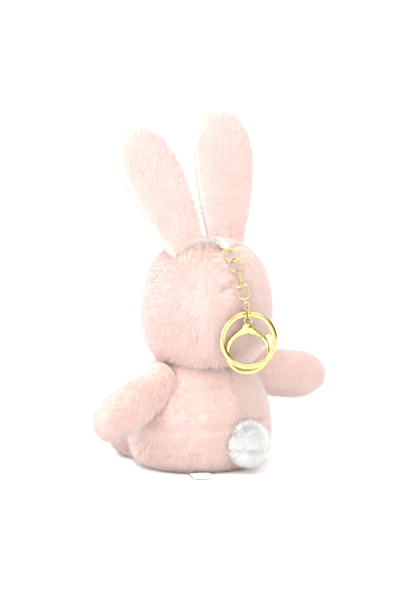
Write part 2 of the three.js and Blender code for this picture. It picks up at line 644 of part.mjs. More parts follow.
const eyeDepth = Math.sqrt((endInside - RING_WIRE / 2) ** 2 - eyeBack ** 2);
const claspHold = insideEndRing(-eyeBack, eyeDepth);
const claspMiddle = claspHold.clone().addScaledVector(hanging(CLASP_LEAN), eyeHeight + CLASP_EYE_RADIUS);
const clasp = new THREE.Group();
clasp.applyMatrix4(linkFrame(claspMiddle, facing(CLASP_LEAN).negate(), hanging(CLASP_LEAN)));
metal.add(clasp);
addPiece('clasp_body', geometryOf(claspBody.subtract(pinHole)), gold, clasp);

const gateBar = loopPlate.intersect(sector(GATE_LOW + openTurn, GATE_HIGH - openTurn));
const TAB = { rise: 4.2, root: 0.6, low: 33, high: 46, tipLow: 36.5, tipHigh: 40.5, thick: 1.7 };
const tabRoot = [polar(loopOuter - TAB.root, TAB.high), polar(loopOuter - TAB.root, TAB.low)];
const tabTip = [polar(loopOuter + TAB.rise, TAB.tipHigh), polar(loopOuter + TAB.rise, TAB.tipLow)];
const tab = prism([tabRoot[0], tabTip[0], tabTip[1], tabRoot[1]], TAB.thick);
const knuckle = disc(pivot, KNUCKLE, KNUCKLE_THICKNESS, KNUCKLE_LEVEL, 16);
const lever = tongue(KNUCKLE * 0.8, KNUCKLE_THICKNESS, KNUCKLE_LEVEL);
const gate = gateBar.add(tab).add(knuckle).add(lever).subtract(pinHole);
addPiece('clasp_gate', geometryOf(gate), gold, clasp);
addPiece('clasp_pin', geometryOf(disc(pivot, CLASP_PIN / 2, CLASP_THICKNESS - 0.1, 0, 12)), gold, clasp);

// The gate's torsion spring: two turns round the pin, between the knuckle and the slot's wall.
function gateSpring() {
  const wire = 0.22;
  const radius = CLASP_PIN / 2 + RUNNING + wire;
  const bottom = KNUCKLE_LEVEL - KNUCKLE_THICKNESS / 2 - wire / 2 - 0.08;
  const pitch = wire + 0.06;
  const route = [];
  const steps = 24;
  const turns = 2;
  for (let i = 0; i <= steps; i += 1) {
    const turn = degrees(200) + (i / steps) * turns * 2 * Math.PI;
    const level = bottom - (i / steps) * turns * pitch;
    const [x, z] = [radius * Math.cos(turn), radius * Math.sin(turn)];
    route.push(new THREE.Vector3(pivot[0] + x, level, pivot[1] + z));
  }
  const path = new THREE.CatmullRomCurve3(route);
  const section = new THREE.Shape([0, 1, 2, 3, 4].map((i) => {
    const angle = (i / 5) * 2 * Math.PI;
    return new THREE.Vector2((wire / 2) * Math.cos(angle), (wire / 2) * Math.sin(angle));
  }));
  return new THREE.ExtrudeGeometry(section, { steps: 30, extrudePath: path, bevelEnabled: false });
}
addPiece('clasp_spring', geometryOf(solid(gateSpring())), gold, clasp);

// ---- ribbon: a flat satin loop, sewn into the crown seam and folded round the loop ring ----
const SEWN_GAP = 0.08; // half the space between its two layers where they are sewn together
const RIBBON_SLACK = 0.2; // between the ring's wire and the ribbon folded round it

function ribbonGeometry(route, wire) {
  const steps = 14;
  const curve = new THREE.SplineCurve(route.map(([x, z]) => new THREE.Vector2(x, z)));
  const side = (sign, spread) => {
    const points = [];
    for (let i = 0; i <= steps; i += 1) {
      const share = i / steps;
      const point = curve.getPoint(share);
      const heading = curve.getTangent(share);
      const open = THREE.MathUtils.smoothstep(share, 0.25, 0.9) * (wire / 2 + RIBBON_SLACK) + spread;
      points.push(new THREE.Vector2(point.x - heading.y * open * sign, point.y + heading.x * open * sign));
    }
    return points;
  };
  const tip = (spread) => {
    const point = curve.getPoint(1);
    const heading = Math.atan2(curve.getTangent(1).y, curve.getTangent(1).x);
    const radius = wire / 2 + RIBBON_SLACK + spread;
    return [0.25, 0.5, 0.75].map((share) => {
      const angle = heading + Math.PI / 2 - share * Math.PI;
      return new THREE.Vector2(point.x + radius * Math.cos(angle), point.y + radius * Math.sin(angle));
    });
  };
  const reach = SEWN_GAP + RIBBON_THICKNESS;
  const outer = [...side(1, reach), ...tip(reach), ...side(-1, reach).reverse()];
  const innerSide = (sign) => side(sign, SEWN_GAP).slice(3);
  const inner = [...innerSide(1), ...tip(SEWN_GAP), ...innerSide(-1).reverse()];
  const shape = new THREE.Shape(outer.reverse());
  shape.holes.push(new THREE.Path(inner));
  const band = new THREE.ExtrudeGeometry(shape, { depth: RIBBON_WIDTH, bevelEnabled: false });
  return band.translate(0, 0, -RIBBON_WIDTH / 2);
}
const RIBBON_HOLD_TURN = 112; // where on the loop ring the ribbon folds round it
const RIBBON_BOW = 2.4; // how far the ribbon arches above the straight line
const ribbonHold = holdOnLoopRing(RIBBON_HOLD_TURN);
const ribbonRoot = new THREE.Vector3(6, -4.5, HEAD_WIDEST_HEIGHT + CROWN_RISE - 1);
const ribbonSide = ribbonHold.wireAlong.clone();
const ribbonAway = ribbonHold.point.clone().sub(ribbonRoot);
const ribbonAcross = ribbonAway.clone().addScaledVector(ribbonSide, -ribbonAway.dot(ribbonSide)).normalize();
const ribbonUp = new THREE.Vector3().crossVectors(ribbonSide, ribbonAcross);
if (ribbonUp.z < 0) {
  ribbonUp.negate();
  ribbonSide.negate();
}
const wireBend = LOOP_RING_RADIUS - Math.sqrt(LOOP_RING_RADIUS ** 2 - (RIBBON_WIDTH / 2) ** 2);
const ribbonRun = ribbonAway.dot(ribbonAcross);
const ribbonStart = ribbonHold.point.clone().addScaledVector(ribbonAcross, -ribbonRun);
const ribbonRoute = [[0, -1.2], [ribbonRun * 0.3, RIBBON_BOW], [ribbonRun * 0.65, RIBBON_BOW * 0.85]];
ribbonRoute.push([ribbonRun + wireBend, 0]);
const ribbonFrame = new THREE.Matrix4().makeBasis(ribbonAcross, ribbonUp, ribbonSide);
ribbonFrame.setPosition(ribbonStart);
const ribbon = solid(placed(ribbonGeometry(ribbonRoute, RING_WIRE), ribbonFrame)).subtract(headInMetal);
addPiece('ribbon_loop', geometryOf(ribbon), satin, metal);

export default object;
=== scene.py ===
"""Plush rabbit keychain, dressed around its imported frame.

The rabbit's skins are sewn shells that are filled by a cloth simulation and then given their pile, tuft by
tuft. The hardware is rebuilt as smooth, plated wire and castings on the places that the frame gives.
Everything is in the frame's own axes: +Z up, the face towards -Y, and the rabbit's own left at +X.
Working sizes are millimetres, and meshes are written in metres.
"""

import json
import logging
import math
from collections.abc import Callable, Sequence
from dataclasses import dataclass
from enum import Enum

import bpy
import numpy as np
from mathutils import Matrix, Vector


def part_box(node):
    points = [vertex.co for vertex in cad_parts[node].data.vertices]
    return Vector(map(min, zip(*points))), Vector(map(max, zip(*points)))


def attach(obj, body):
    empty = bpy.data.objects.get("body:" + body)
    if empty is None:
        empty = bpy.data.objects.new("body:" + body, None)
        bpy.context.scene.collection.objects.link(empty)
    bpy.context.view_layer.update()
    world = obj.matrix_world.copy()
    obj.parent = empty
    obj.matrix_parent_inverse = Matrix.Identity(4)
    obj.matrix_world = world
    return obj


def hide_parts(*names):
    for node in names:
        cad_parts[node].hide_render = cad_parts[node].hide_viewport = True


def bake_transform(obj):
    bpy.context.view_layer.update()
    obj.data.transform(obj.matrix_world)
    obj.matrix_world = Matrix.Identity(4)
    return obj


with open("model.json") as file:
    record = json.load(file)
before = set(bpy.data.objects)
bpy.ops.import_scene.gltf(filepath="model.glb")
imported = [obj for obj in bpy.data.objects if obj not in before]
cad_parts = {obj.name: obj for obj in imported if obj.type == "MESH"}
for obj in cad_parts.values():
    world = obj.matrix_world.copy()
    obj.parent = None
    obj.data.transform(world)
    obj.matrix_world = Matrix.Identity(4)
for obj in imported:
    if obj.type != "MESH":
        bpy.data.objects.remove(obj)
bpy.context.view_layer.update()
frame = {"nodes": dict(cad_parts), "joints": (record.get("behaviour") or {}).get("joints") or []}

LOG = logging.getLogger("plush_keychain")
MM = 0.001
WELD_M = 1e-6
UP = np.array([0.0, 0.0, 1.0])
JOINTS = {joint["name"]: joint for joint in frame["joints"]}

# each skin's tufts are drawn from a row of random numbers of its own
PILE_SEEDS = {
    "head": 11,
    "body": 23,
    "left_arm": 31,
    "right_arm": 37,
    "left_ear": 41,
    "right_ear": 43,
    "left_foot": 54,
    "right_foot": 52,
    "tail": 61,
}

Mask = Callable[[np.ndarray], np.ndarray]


# ---------------------------------------------------------------- small tools


def linear(colour: str) -> tuple[float, float, float, float]:
    """Turns an sRGB hex colour such as "#fde3da" into linear red, green, blue and alpha."""
    shares = (int(colour[i : i + 2], 16) / 255 for i in (1, 3, 5))
    return (*(s / 12.92 if s <= 0.04045 else ((s + 0.055) / 1.055) ** 2.4 for s in shares), 1.0)


def unit(vectors: np.ndarray) -> np.ndarray:
    """Scales a vector, or each row of vectors, to length 1."""
    return vectors / np.maximum(np.linalg.norm(vectors, axis=-1, keepdims=True), 1e-12)


def node_points(node: str) -> np.ndarray:
    """The corners of a frame node's mesh, in millimetres."""
    return np.array([v.co for v in frame["nodes"][node].data.vertices], float) / MM


def box_mm(node: str) -> tuple[np.ndarray, np.ndarray]:
    """The lowest and highest corners of a frame node, in millimetres."""
    low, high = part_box(node)
    return np.array(low) / MM, np.array(high) / MM


def joint_point(name: str) -> np.ndarray:
    """The place of a joint at rest, in millimetres."""
    return np.array(JOINTS[name]["pos_m"], float) / MM


def smooth_step(values: np.ndarray, low: float, high: float) -> np.ndarray:
    """A smooth rise from 0 at low to 1 at high."""
    share = np.clip((values - low) / (high - low), 0, 1)
    return share * share * (3 - 2 * share)


def through(points: Sequence[Sequence[float]], count: int) -> np.ndarray:
    """A smooth curve through points.

    Args:
        points: The points that it passes.
        count: How many points the result has.

    Returns:
        The points of the curve, one row each.
    """
    knots = np.array(points, float)
    padded = np.vstack([2 * knots[0] - knots[1], knots, 2 * knots[-1] - knots[-2]])
    place = np.linspace(0, len(knots) - 1 - 1e-9, count)
    index = place.astype(int)
    t = (place - index)[:, None]
    a, b, c, d = (padded[index + k] for k in range(4))
    bend = (2 * a - 5 * b + 4 * c - d) * t**2 + (3 * b - a - 3 * c + d) * t**3
    return 0.5 * (2 * b + (c - a) * t + bend)


@dataclass(frozen=True)
class Basis:
    """Three square directions at an origin: across, off (out of the flat side) and along."""

    origin: np.ndarray
    across: np.ndarray
    off: np.ndarray
    along: np.ndarray

    @staticmethod
    def facing(origin: np.ndarray, along: np.ndarray, across: np.ndarray) -> "Basis":
        """A basis whose along is kept, and whose across is squared to it."""
        z = unit(along)
        x = unit(across - z * across.dot(z))
        return Basis(origin, x, np.cross(z, x), z)

    def place(self, local: np.ndarray) -> np.ndarray:
        """Local points in the frame's axes."""
        return self.origin + local @ np.array([self.across, self.off, self.along])

    def local(self, points: np.ndarray) -> np.ndarray:
        """Points of the frame in this basis."""
        return (points - self.origin) @ np.array([self.across, self.off, self.along]).T


def add_node(
    tree: bpy.types.NodeTree, kind: str, inputs: dict | None = None, **settings
) -> bpy.types.Node:
    """Adds a shader node.

    Args:
        tree: The node tree.
        kind: The node's type, without its ShaderNode prefix.
        inputs: Values or output sockets, by the input's name or number.
        settings: The node's own properties.

    Returns:
        The new node.
    """
    node = tree.nodes.new("ShaderNode" + kind)
    for name, value in settings.items():
        setattr(node, name, value)
    for name, value in (inputs or {}).items():
        if isinstance(value, bpy.types.NodeSocket):
            tree.links.new(value, node.inputs[name])
        else:
            node.inputs[name].default_value = value
    return node


def new_material(name: str) -> tuple[bpy.types.Material, bpy.types.NodeTree, bpy.types.Node]:
    """Makes a material with a Principled shader, and returns it with its tree and that shader."""
    material = bpy.data.materials.new(name)
    material.use_nodes = True
    return material, material.node_tree, material.node_tree.nodes["Principled BSDF"]


def two_tone(
    tree: bpy.types.NodeTree, factor: bpy.types.NodeSocket, low: str, high: str
) -> bpy.types.NodeSocket:
    """Mixes two hex colours by a factor, and returns the colour's socket."""
    inputs = {"Factor": factor, 6: linear(low), 7: linear(high)}
    return add_node(tree, "Mix", inputs, data_type="RGBA").outputs[2]


# ---------------------------------------------------------------- finishes


@dataclass(frozen=True)
class PlushPile:
    """Polyester plush pile, sheared and brushed after knitting.

    The cut ends lie every way, so the eye gets no shine. Each tuft runs from a darker, pinker root to a pale
    tip, which is painted shade deep in the pile. The tone drifts from patch to patch, where the brush has
    laid the pile, and from lock to lock.
    """

    name: str
    root: str
    tip: str
    # a darker colour for the random mottle, and for painted shade beside creases
    mottle_and_crease_shade: str
    mottle_mm: float = 9.0
    lock_mm: float = 2.2
    drift_from: float = 1.0
    drift_to: float = 1.9
    deepest: float = 0.6

    def make(self) -> bpy.types.Material:
        """Builds the pile's material. Its tone runs up each tuft from a painted shade at the root, and drifts
        over patches and locks.
        """
        material, tree, shader = new_material(self.name)
        height = add_node(tree, "Attribute", attribute_name="pile_height").outputs["Fac"]
        tuft = add_node(tree, "Attribute", attribute_name="tuft_tone_and_crease_shade").outputs["Fac"]
        place = add_node(tree, "TexCoord").outputs["Object"]
        drift = tuft
        for size_mm, detail in ((self.mottle_mm, 2.0), (self.lock_mm, 1.0)):
            inputs = {"Vector": place, "Scale": 1 / (size_mm * MM), "Detail": detail}
            cloud = add_node(tree, "TexNoise", inputs).outputs["Fac"]
            drift = add_node(tree, "Math", {0: drift, 1: cloud}, operation="ADD").outputs[0]
        span = {"From Min": self.drift_from, "From Max": self.drift_to, "To Min": self.deepest, "To Max": 0.0}
        shade = add_node(tree, "MapRange", {"Value": drift, **span}).outputs[0]
        # painted shade: each tuft is darker and pinker at its root than at its tip
        pale = two_tone(tree, height, self.root, self.tip)
        # the drift mixes in the darker colour: random mottle, and painted shade where creases lower the
        # tufts' tone
        colour = add_node(tree, "Mix", {"Factor": shade, 6: pale, 7: linear(self.mottle_and_crease_shade)}, data_type="RGBA")
        tree.links.new(colour.outputs[2], shader.inputs["Base Color"])
        shader.inputs["Roughness"].default_value = 0.92
        shader.inputs["Subsurface Weight"].default_value = 0.4
        shader.inputs["Subsurface Scale"].default_value = self.lock_mm * MM
        shader.inputs["Subsurface Radius"].default_value = (1.0, 0.75, 0.65)
        shader.inputs["Specular IOR Level"].default_value = 0.15
        shader.inputs["Sheen Weight"].default_value = 0.25
        shader.inputs["Sheen Roughness"].default_value = 0.6
        shader.inputs["Sheen Tint"].default_value = linear(self.tip)
        return material


@dataclass(frozen=True)
class KnitBacking:
    """Knitted polyester backing cloth, which the pile grows from.

    Its small loops give the eye a matt, finely pitted ground, and only where the pile parts.
    """

    name: str
    colour: str
    shade: str
    stitch_mm: float = 0.9

    def make(self) -> bpy.types.Material:
        """Builds the backing's material, with its knit as colour and bump."""
        material, tree, shader = new_material(self.name)
        place = add_node(tree, "TexCoord").outputs["Object"]
        inputs = {"Vector": place, "Scale": 1 / (self.stitch_mm * MM)}
        loops = add_node(tree, "TexVoronoi", inputs).outputs["Distance"]
        tree.links.new(two_tone(tree, loops, self.colour, self.shade), shader.inputs["Base Color"])
        bump = add_node(tree, "Bump", {"Height": loops, "Strength": 0.4, "Distance": 0.2 * MM})
        tree.links.new(bump.outputs[0], shader.inputs["Normal"])
        shader.inputs["Roughness"].default_value = 0.95
        return material


@dataclass(frozen=True)
class WovenThread:
    """Polyester thread or tape, woven or stitched.

    Its filaments lie side by side, so the eye gets fine ribs with a soft shine across them.
    """

    name: str
    colour: str
    shade: str
    rib_mm: float
    roughness: float
    sheen: float = 0.3

    def make(self) -> bpy.types.Material:
        """Builds the thread's material, with its ribs as colour and bump."""
        material, tree, shader = new_material(self.name)
        place = add_node(tree, "TexCoord").outputs["Object"]
        inputs = {"Vector": place, "Scale": 1 / (2 * math.pi * self.rib_mm * MM), "Distortion": 0.6}
        ribs = add_node(tree, "TexWave", inputs, bands_direction="DIAGONAL").outputs["Fac"]
        tree.links.new(two_tone(tree, ribs, self.colour, self.shade), shader.inputs["Base Color"])
        bump = add_node(tree, "Bump", {"Height": ribs, "Strength": 0.25, "Distance": 0.08 * MM})
        tree.links.new(bump.outputs[0], shader.inputs["Normal"])
        shader.inputs["Roughness"].default_value = self.roughness
        shader.inputs["Sheen Weight"].default_value = self.sheen
        return material


@dataclass(frozen=True)
class LightGoldPlate:
    """Zinc castings and steel wire, tumbled smooth and plated with light gold.

    The plating mirrors the room sharply, with dark and bright bands along each round, and a faint haze
    from handling takes the edge off it in patches.
    """

    name: str
    colour: str
    worn: str
    haze_mm: float = 3.0
    roughness: tuple[float, float] = (0.05, 0.14)

    def make(self) -> bpy.types.Material:
        """Builds the plating's material, whose polish and tone drift a little."""
        material, tree, shader = new_material(self.name)
        place = add_node(tree, "TexCoord").outputs["Object"]
        inputs = {"Vector": place, "Scale": 1 / (self.haze_mm * MM), "Detail": 3.0}
        haze = add_node(tree, "TexNoise", inputs).outputs["Fac"]
        tree.links.new(two_tone(tree, haze, self.colour, self.worn), shader.inputs["Base Color"])
        sharp, dull = self.roughness
        rough = add_node(tree, "MapRange", {"Value": haze, "To Min": sharp, "To Max": dull})
        tree.links.new(rough.outputs[0], shader.inputs["Roughness"])
        shader.inputs["Metallic"].default_value = 1.0
        return material


class Finish(Enum):
    """Every finish of the keychain, made once."""

    # painted shade deep in the pile: the roots are toned pinker and darker than the nearly white tips
    PINK_PILE = PlushPile("brushed_pink_pile", root="#fccfc3", tip="#fff0ea", mottle_and_crease_shade="#fac1b3")
    # left undyed: only the shade between the locks tells one from the next
    WHITE_PILE = PlushPile("brushed_white_pile", root="#fefefa", tip="#ffffff", mottle_and_crease_shade="#fbfaf4")
    # knitted from the pile's own yarn, so it reads as a slightly deeper pink between the tufts
    PINK_BACKING = KnitBacking("pink_knit_backing", colour="#fcdcd2", shade="#f6cabd")
    # the same cloth undyed, under the tail's puff
    WHITE_BACKING = KnitBacking("white_knit_backing", colour="#fdfdfa", shade="#f1f0ea")
    # long floats of bright yarn: a smooth face with a silky shine
    SATIN = WovenThread("white_satin_ribbon", "#fbfaf8", "#e8e6e2", rib_mm=0.16, roughness=0.32)
    # a plain weave, heat-cut and left blank: flat and chalky beside the ribbon
    TAPE = WovenThread("white_label_tape", "#f8f8f6", "#e2e1dd", rib_mm=0.22, roughness=0.6)
    # twisted embroidery thread, laid strand by strand: dark with a low gloss on each round
    BROWN_THREAD = WovenThread("brown_stitching_thread", "#4a332b", "#2d1d18", rib_mm=0.2, roughness=0.45)
    # the same thread in a dusty rose
    ROSE_THREAD = WovenThread("rose_stitching_thread", "#d98f86", "#b86f68", rib_mm=0.2, roughness=0.45)
    # thin gold over bright nickel: a pale yellow mirror
    GOLD = LightGoldPlate("light_gold_plate", colour="#ddd09c", worn="#c4b271")

    @property
    def material(self) -> bpy.types.Material:
        """The finish's material, made when it is first asked for."""
        return bpy.data.materials.get(self.value.name) or self.value.make()


# ---------------------------------------------------------------- meshes


def new_piece(
    name: str, points_mm: np.ndarray, faces: Sequence, finishes: Sequence[Finish]
) -> bpy.types.Object:
    """Makes an object from points in millimetres and faces, smooth shaded.

    Args:
        name: The piece's name.
        points_mm: One row for each point.
        faces: The corners of each face.
        finishes: The finishes of its material slots.

    Returns:
        The new object, linked to the scene.
    """
    mesh = bpy.data.meshes.new(name)
    mesh.from_pydata((points_mm * MM).tolist(), [], [list(map(int, face)) for face in faces])
    mesh.polygons.foreach_set("use_smooth", [True] * len(mesh.polygons))
    for finish in finishes:
        mesh.materials.append(finish.material)
    piece = bpy.data.objects.new(name, mesh)
    bpy.context.scene.collection.objects.link(piece)
    return piece


def ring_grid(rings: np.ndarray) -> tuple[np.ndarray, list[tuple[int, ...]]]:
    """Joins rings of points into a skin, and closes a first or last ring that has shrunk to a point.

    Args:
        rings: Points by ring, place round the ring, and axis.

    Returns:
        The points and the faces.
    """
    count, around = rings.shape[:2]
    closed_start, closed_end = (np.ptp(ring, axis=0).max() < 1e-6 for ring in (rings[0], rings[-1]))
    first = 1 if closed_start else 0
    last = count - 1 if closed_end else count
    points = [rings[first:last].reshape(-1, 3)]
    faces = []
    for i in range(last - first - 1):
        for j in range(around):
            k = (j + 1) % around
            faces.append((i * around + j, i * around + k, (i + 1) * around + k, (i + 1) * around + j))
    size = (last - first) * around
    if closed_start:
        points.append(rings[0, :1])
        faces.extend((size, (j + 1) % around, j) for j in range(around))
        size += 1
    if closed_end:
        points.append(rings[-1, :1])
        edge = (last - first - 1) * around
        faces.extend((size, edge + j, edge + (j + 1) % around) for j in range(around))
    return np.vstack(points), faces


def turned_rings(outline: np.ndarray, around: int, depth_share: float, fullness: float = 2.0) -> np.ndarray:
    """Turns an outline of radius and height about the long axis.

    Args:
        outline: Radius and height of each ring.
        around: Points in a ring.
        depth_share: The thickness as a share of the width.
        fullness: 2 gives an ellipse, and more a squarer section.

    Returns:
        Points by ring, place and axis.
    """
    turn = np.arange(around) / around * 2 * np.pi
    power = 2 / fullness
    x = np.sign(np.cos(turn)) * np.abs(np.cos(turn)) ** power
    y = np.sign(np.sin(turn)) * np.abs(np.sin(turn)) ** power * depth_share
    radius, height = outline[:, 0, None], outline[:, 1, None]
    return np.stack([radius * x, radius * y, height + 0 * x], axis=-1)


def read_mesh(mesh: bpy.types.Mesh) -> tuple[np.ndarray, np.ndarray, np.ndarray]:
    """The points in millimetres, the point normals and the triangles of a mesh."""
    points = np.empty(len(mesh.vertices) * 3)
    mesh.vertices.foreach_get("co", points)
    normals = np.empty(len(mesh.vertices) * 3)
    mesh.vertices.foreach_get("normal", normals)
    mesh.calc_loop_triangles()
    triangles = np.empty(len(mesh.loop_triangles) * 3, int)
    mesh.loop_triangles.foreach_get("vertices", triangles)
    return points.reshape(-1, 3) / MM, normals.reshape(-1, 3), triangles.reshape(-1, 3)


def write_points(piece: bpy.types.Object, points_mm: np.ndarray) -> None:
    """Moves the mesh's points to new places in millimetres."""
    piece.data.vertices.foreach_set("co", (points_mm * MM).ravel())
    piece.data.update()


def swap_mesh(piece: bpy.types.Object, mesh: bpy.types.Mesh) -> None:
    """Gives a piece a new mesh, and removes its old one."""
    old = piece.data
    piece.data = mesh
    bpy.data.meshes.remove(old)
    mesh.name = piece.name


def bake_modifiers(piece: bpy.types.Object) -> None:
    """Applies a piece's modifiers to its mesh."""
    graph = bpy.context.evaluated_depsgraph_get()
    baked = bpy.data.meshes.new_from_object(piece.evaluated_get(graph))
    piece.modifiers.clear()
    swap_mesh(piece, baked)


def refine(piece: bpy.types.Object, levels: int) -> None:
    """Subdivides a piece smoothly, and keeps the result as its mesh."""
    smooth = piece.modifiers.new("smooth", "SUBSURF")
    smooth.levels = smooth.render_levels = levels
    bake_modifiers(piece)


@dataclass(frozen=True)
class Stuffing:
    """How firmly a skin is filled."""

    pressure: float = 5.0
    frames: int = 16
    most_mm: float = 2.6
    stiffness: float = 12.0

    def fill(self, piece: bpy.types.Object, sewn: np.ndarray) -> None:
        """Swells the skin by a cloth simulation, held where it is sewn.

        Args:
            piece: The skin, whose mesh is changed.
            sewn: How firmly each point is held, from 0 to 1.
        """
        start = read_mesh(piece.data)[0]
        group = piece.vertex_groups.new(name="sewn")
        for index in np.flatnonzero(sewn > 0):
            group.add([int(index)], float(sewn[index]), "REPLACE")
        cloth = piece.modifiers.new("cloth", "CLOTH")
        settings = cloth.settings
        settings.quality = 6
        settings.mass = 0.2
        settings.tension_stiffness = settings.compression_stiffness = self.stiffness
        settings.bending_stiffness = 0.3
        settings.use_pressure = True
        settings.uniform_pressure_force = self.pressure
        settings.vertex_group_mass = "sewn"
        settings.effector_weights.gravity = 0
        cloth.point_cache.frame_end = self.frames
        scene = bpy.context.scene
        for number in range(1, self.frames + 1):
            scene.frame_set(number)
        swollen = piece.evaluated_get(bpy.context.evaluated_depsgraph_get())
        filled = read_mesh(swollen.to_mesh())[0]
        swollen.to_mesh_clear()
        piece.modifiers.clear()
        piece.vertex_groups.clear()
        scene.frame_set(1)
        shift = np.nan_to_num(filled - start)
        reach = np.linalg.norm(shift, axis=1, keepdims=True)
        write_points(piece, start + shift * np.minimum(1, self.most_mm / np.maximum(reach, 1e-9)))
        LOG.info("%s filled: moved up to %.1f mm", piece.name, float(reach.max()))


@dataclass(frozen=True)
class Crease:
    """A seam or pinch along a line of points: it pulls the skin in, or with less than no depth lifts it."""

    line: np.ndarray
    depth_mm: float
    width_mm: float

    def closeness(self, points: np.ndarray) -> np.ndarray:
        """How near each point is to the line: 1 on it, falling to 0 beyond its width."""
        best = np.full(len(points), np.inf)
        ends = zip(self.line[:-1], self.line[1:]) if len(self.line) > 1 else [(self.line[0], self.line[0])]
        for a, b in ends:
            run = b - a
            share = np.clip((points - a) @ run / max(run @ run, 1e-9), 0, 1)
            best = np.minimum(best, np.linalg.norm(points - a - share[:, None] * run, axis=1))
        return np.exp(-((best / self.width_mm) ** 2))


def add_tufts(
    piece: bpy.types.Object, corners: np.ndarray, facing: np.ndarray, tone: np.ndarray
) -> None:
    """Rebuilds a skin's mesh with tufts in its second material slot.

    Args:
        piece: The skin.
        corners: Each tuft's four corners in millimetres: three round its root, and then its tip.
        facing: The shading direction at each of them.
        tone: Each tuft's own tone, lowered beside creases as painted shade.
    """
    points, normals, _ = read_mesh(piece.data)
    first = len(points) + 4 * np.arange(len(tone))[:, None, None]
    tuft_faces = (first + np.array([[2, 0, 3], [1, 2, 3], [0, 1, 3]])).reshape(-1, 3)
    skin_faces = [tuple(face.vertices) for face in piece.data.polygons]
    mesh = bpy.data.meshes.new(piece.name)
    everything = np.vstack([points, corners.reshape(-1, 3)]) * MM
    mesh.from_pydata(everything.tolist(), [], skin_faces + tuft_faces.tolist())
    for material in piece.data.materials:
        mesh.materials.append(material)
    slots = np.zeros(len(mesh.polygons), np.int32)
    slots[len(skin_faces) :] = 1
    mesh.polygons.foreach_set("material_index", slots)
    mesh.polygons.foreach_set("use_smooth", np.ones(len(slots), bool))
    height = np.zeros(len(everything))
    height[len(points) + 3 :: 4] = 1
    tones = np.concatenate([np.full(len(points), 0.5), np.repeat(tone, 4)])
    for name, values in (("pile_height", height), ("tuft_tone_and_crease_shade", tones)):
        mesh.attributes.new(name, "FLOAT", "POINT").data.foreach_set("value", values.astype(np.float32))
    mesh.normals_split_custom_set_from_vertices(np.vstack([normals, facing.reshape(-1, 3)]).tolist())
    swap_mesh(piece, mesh)


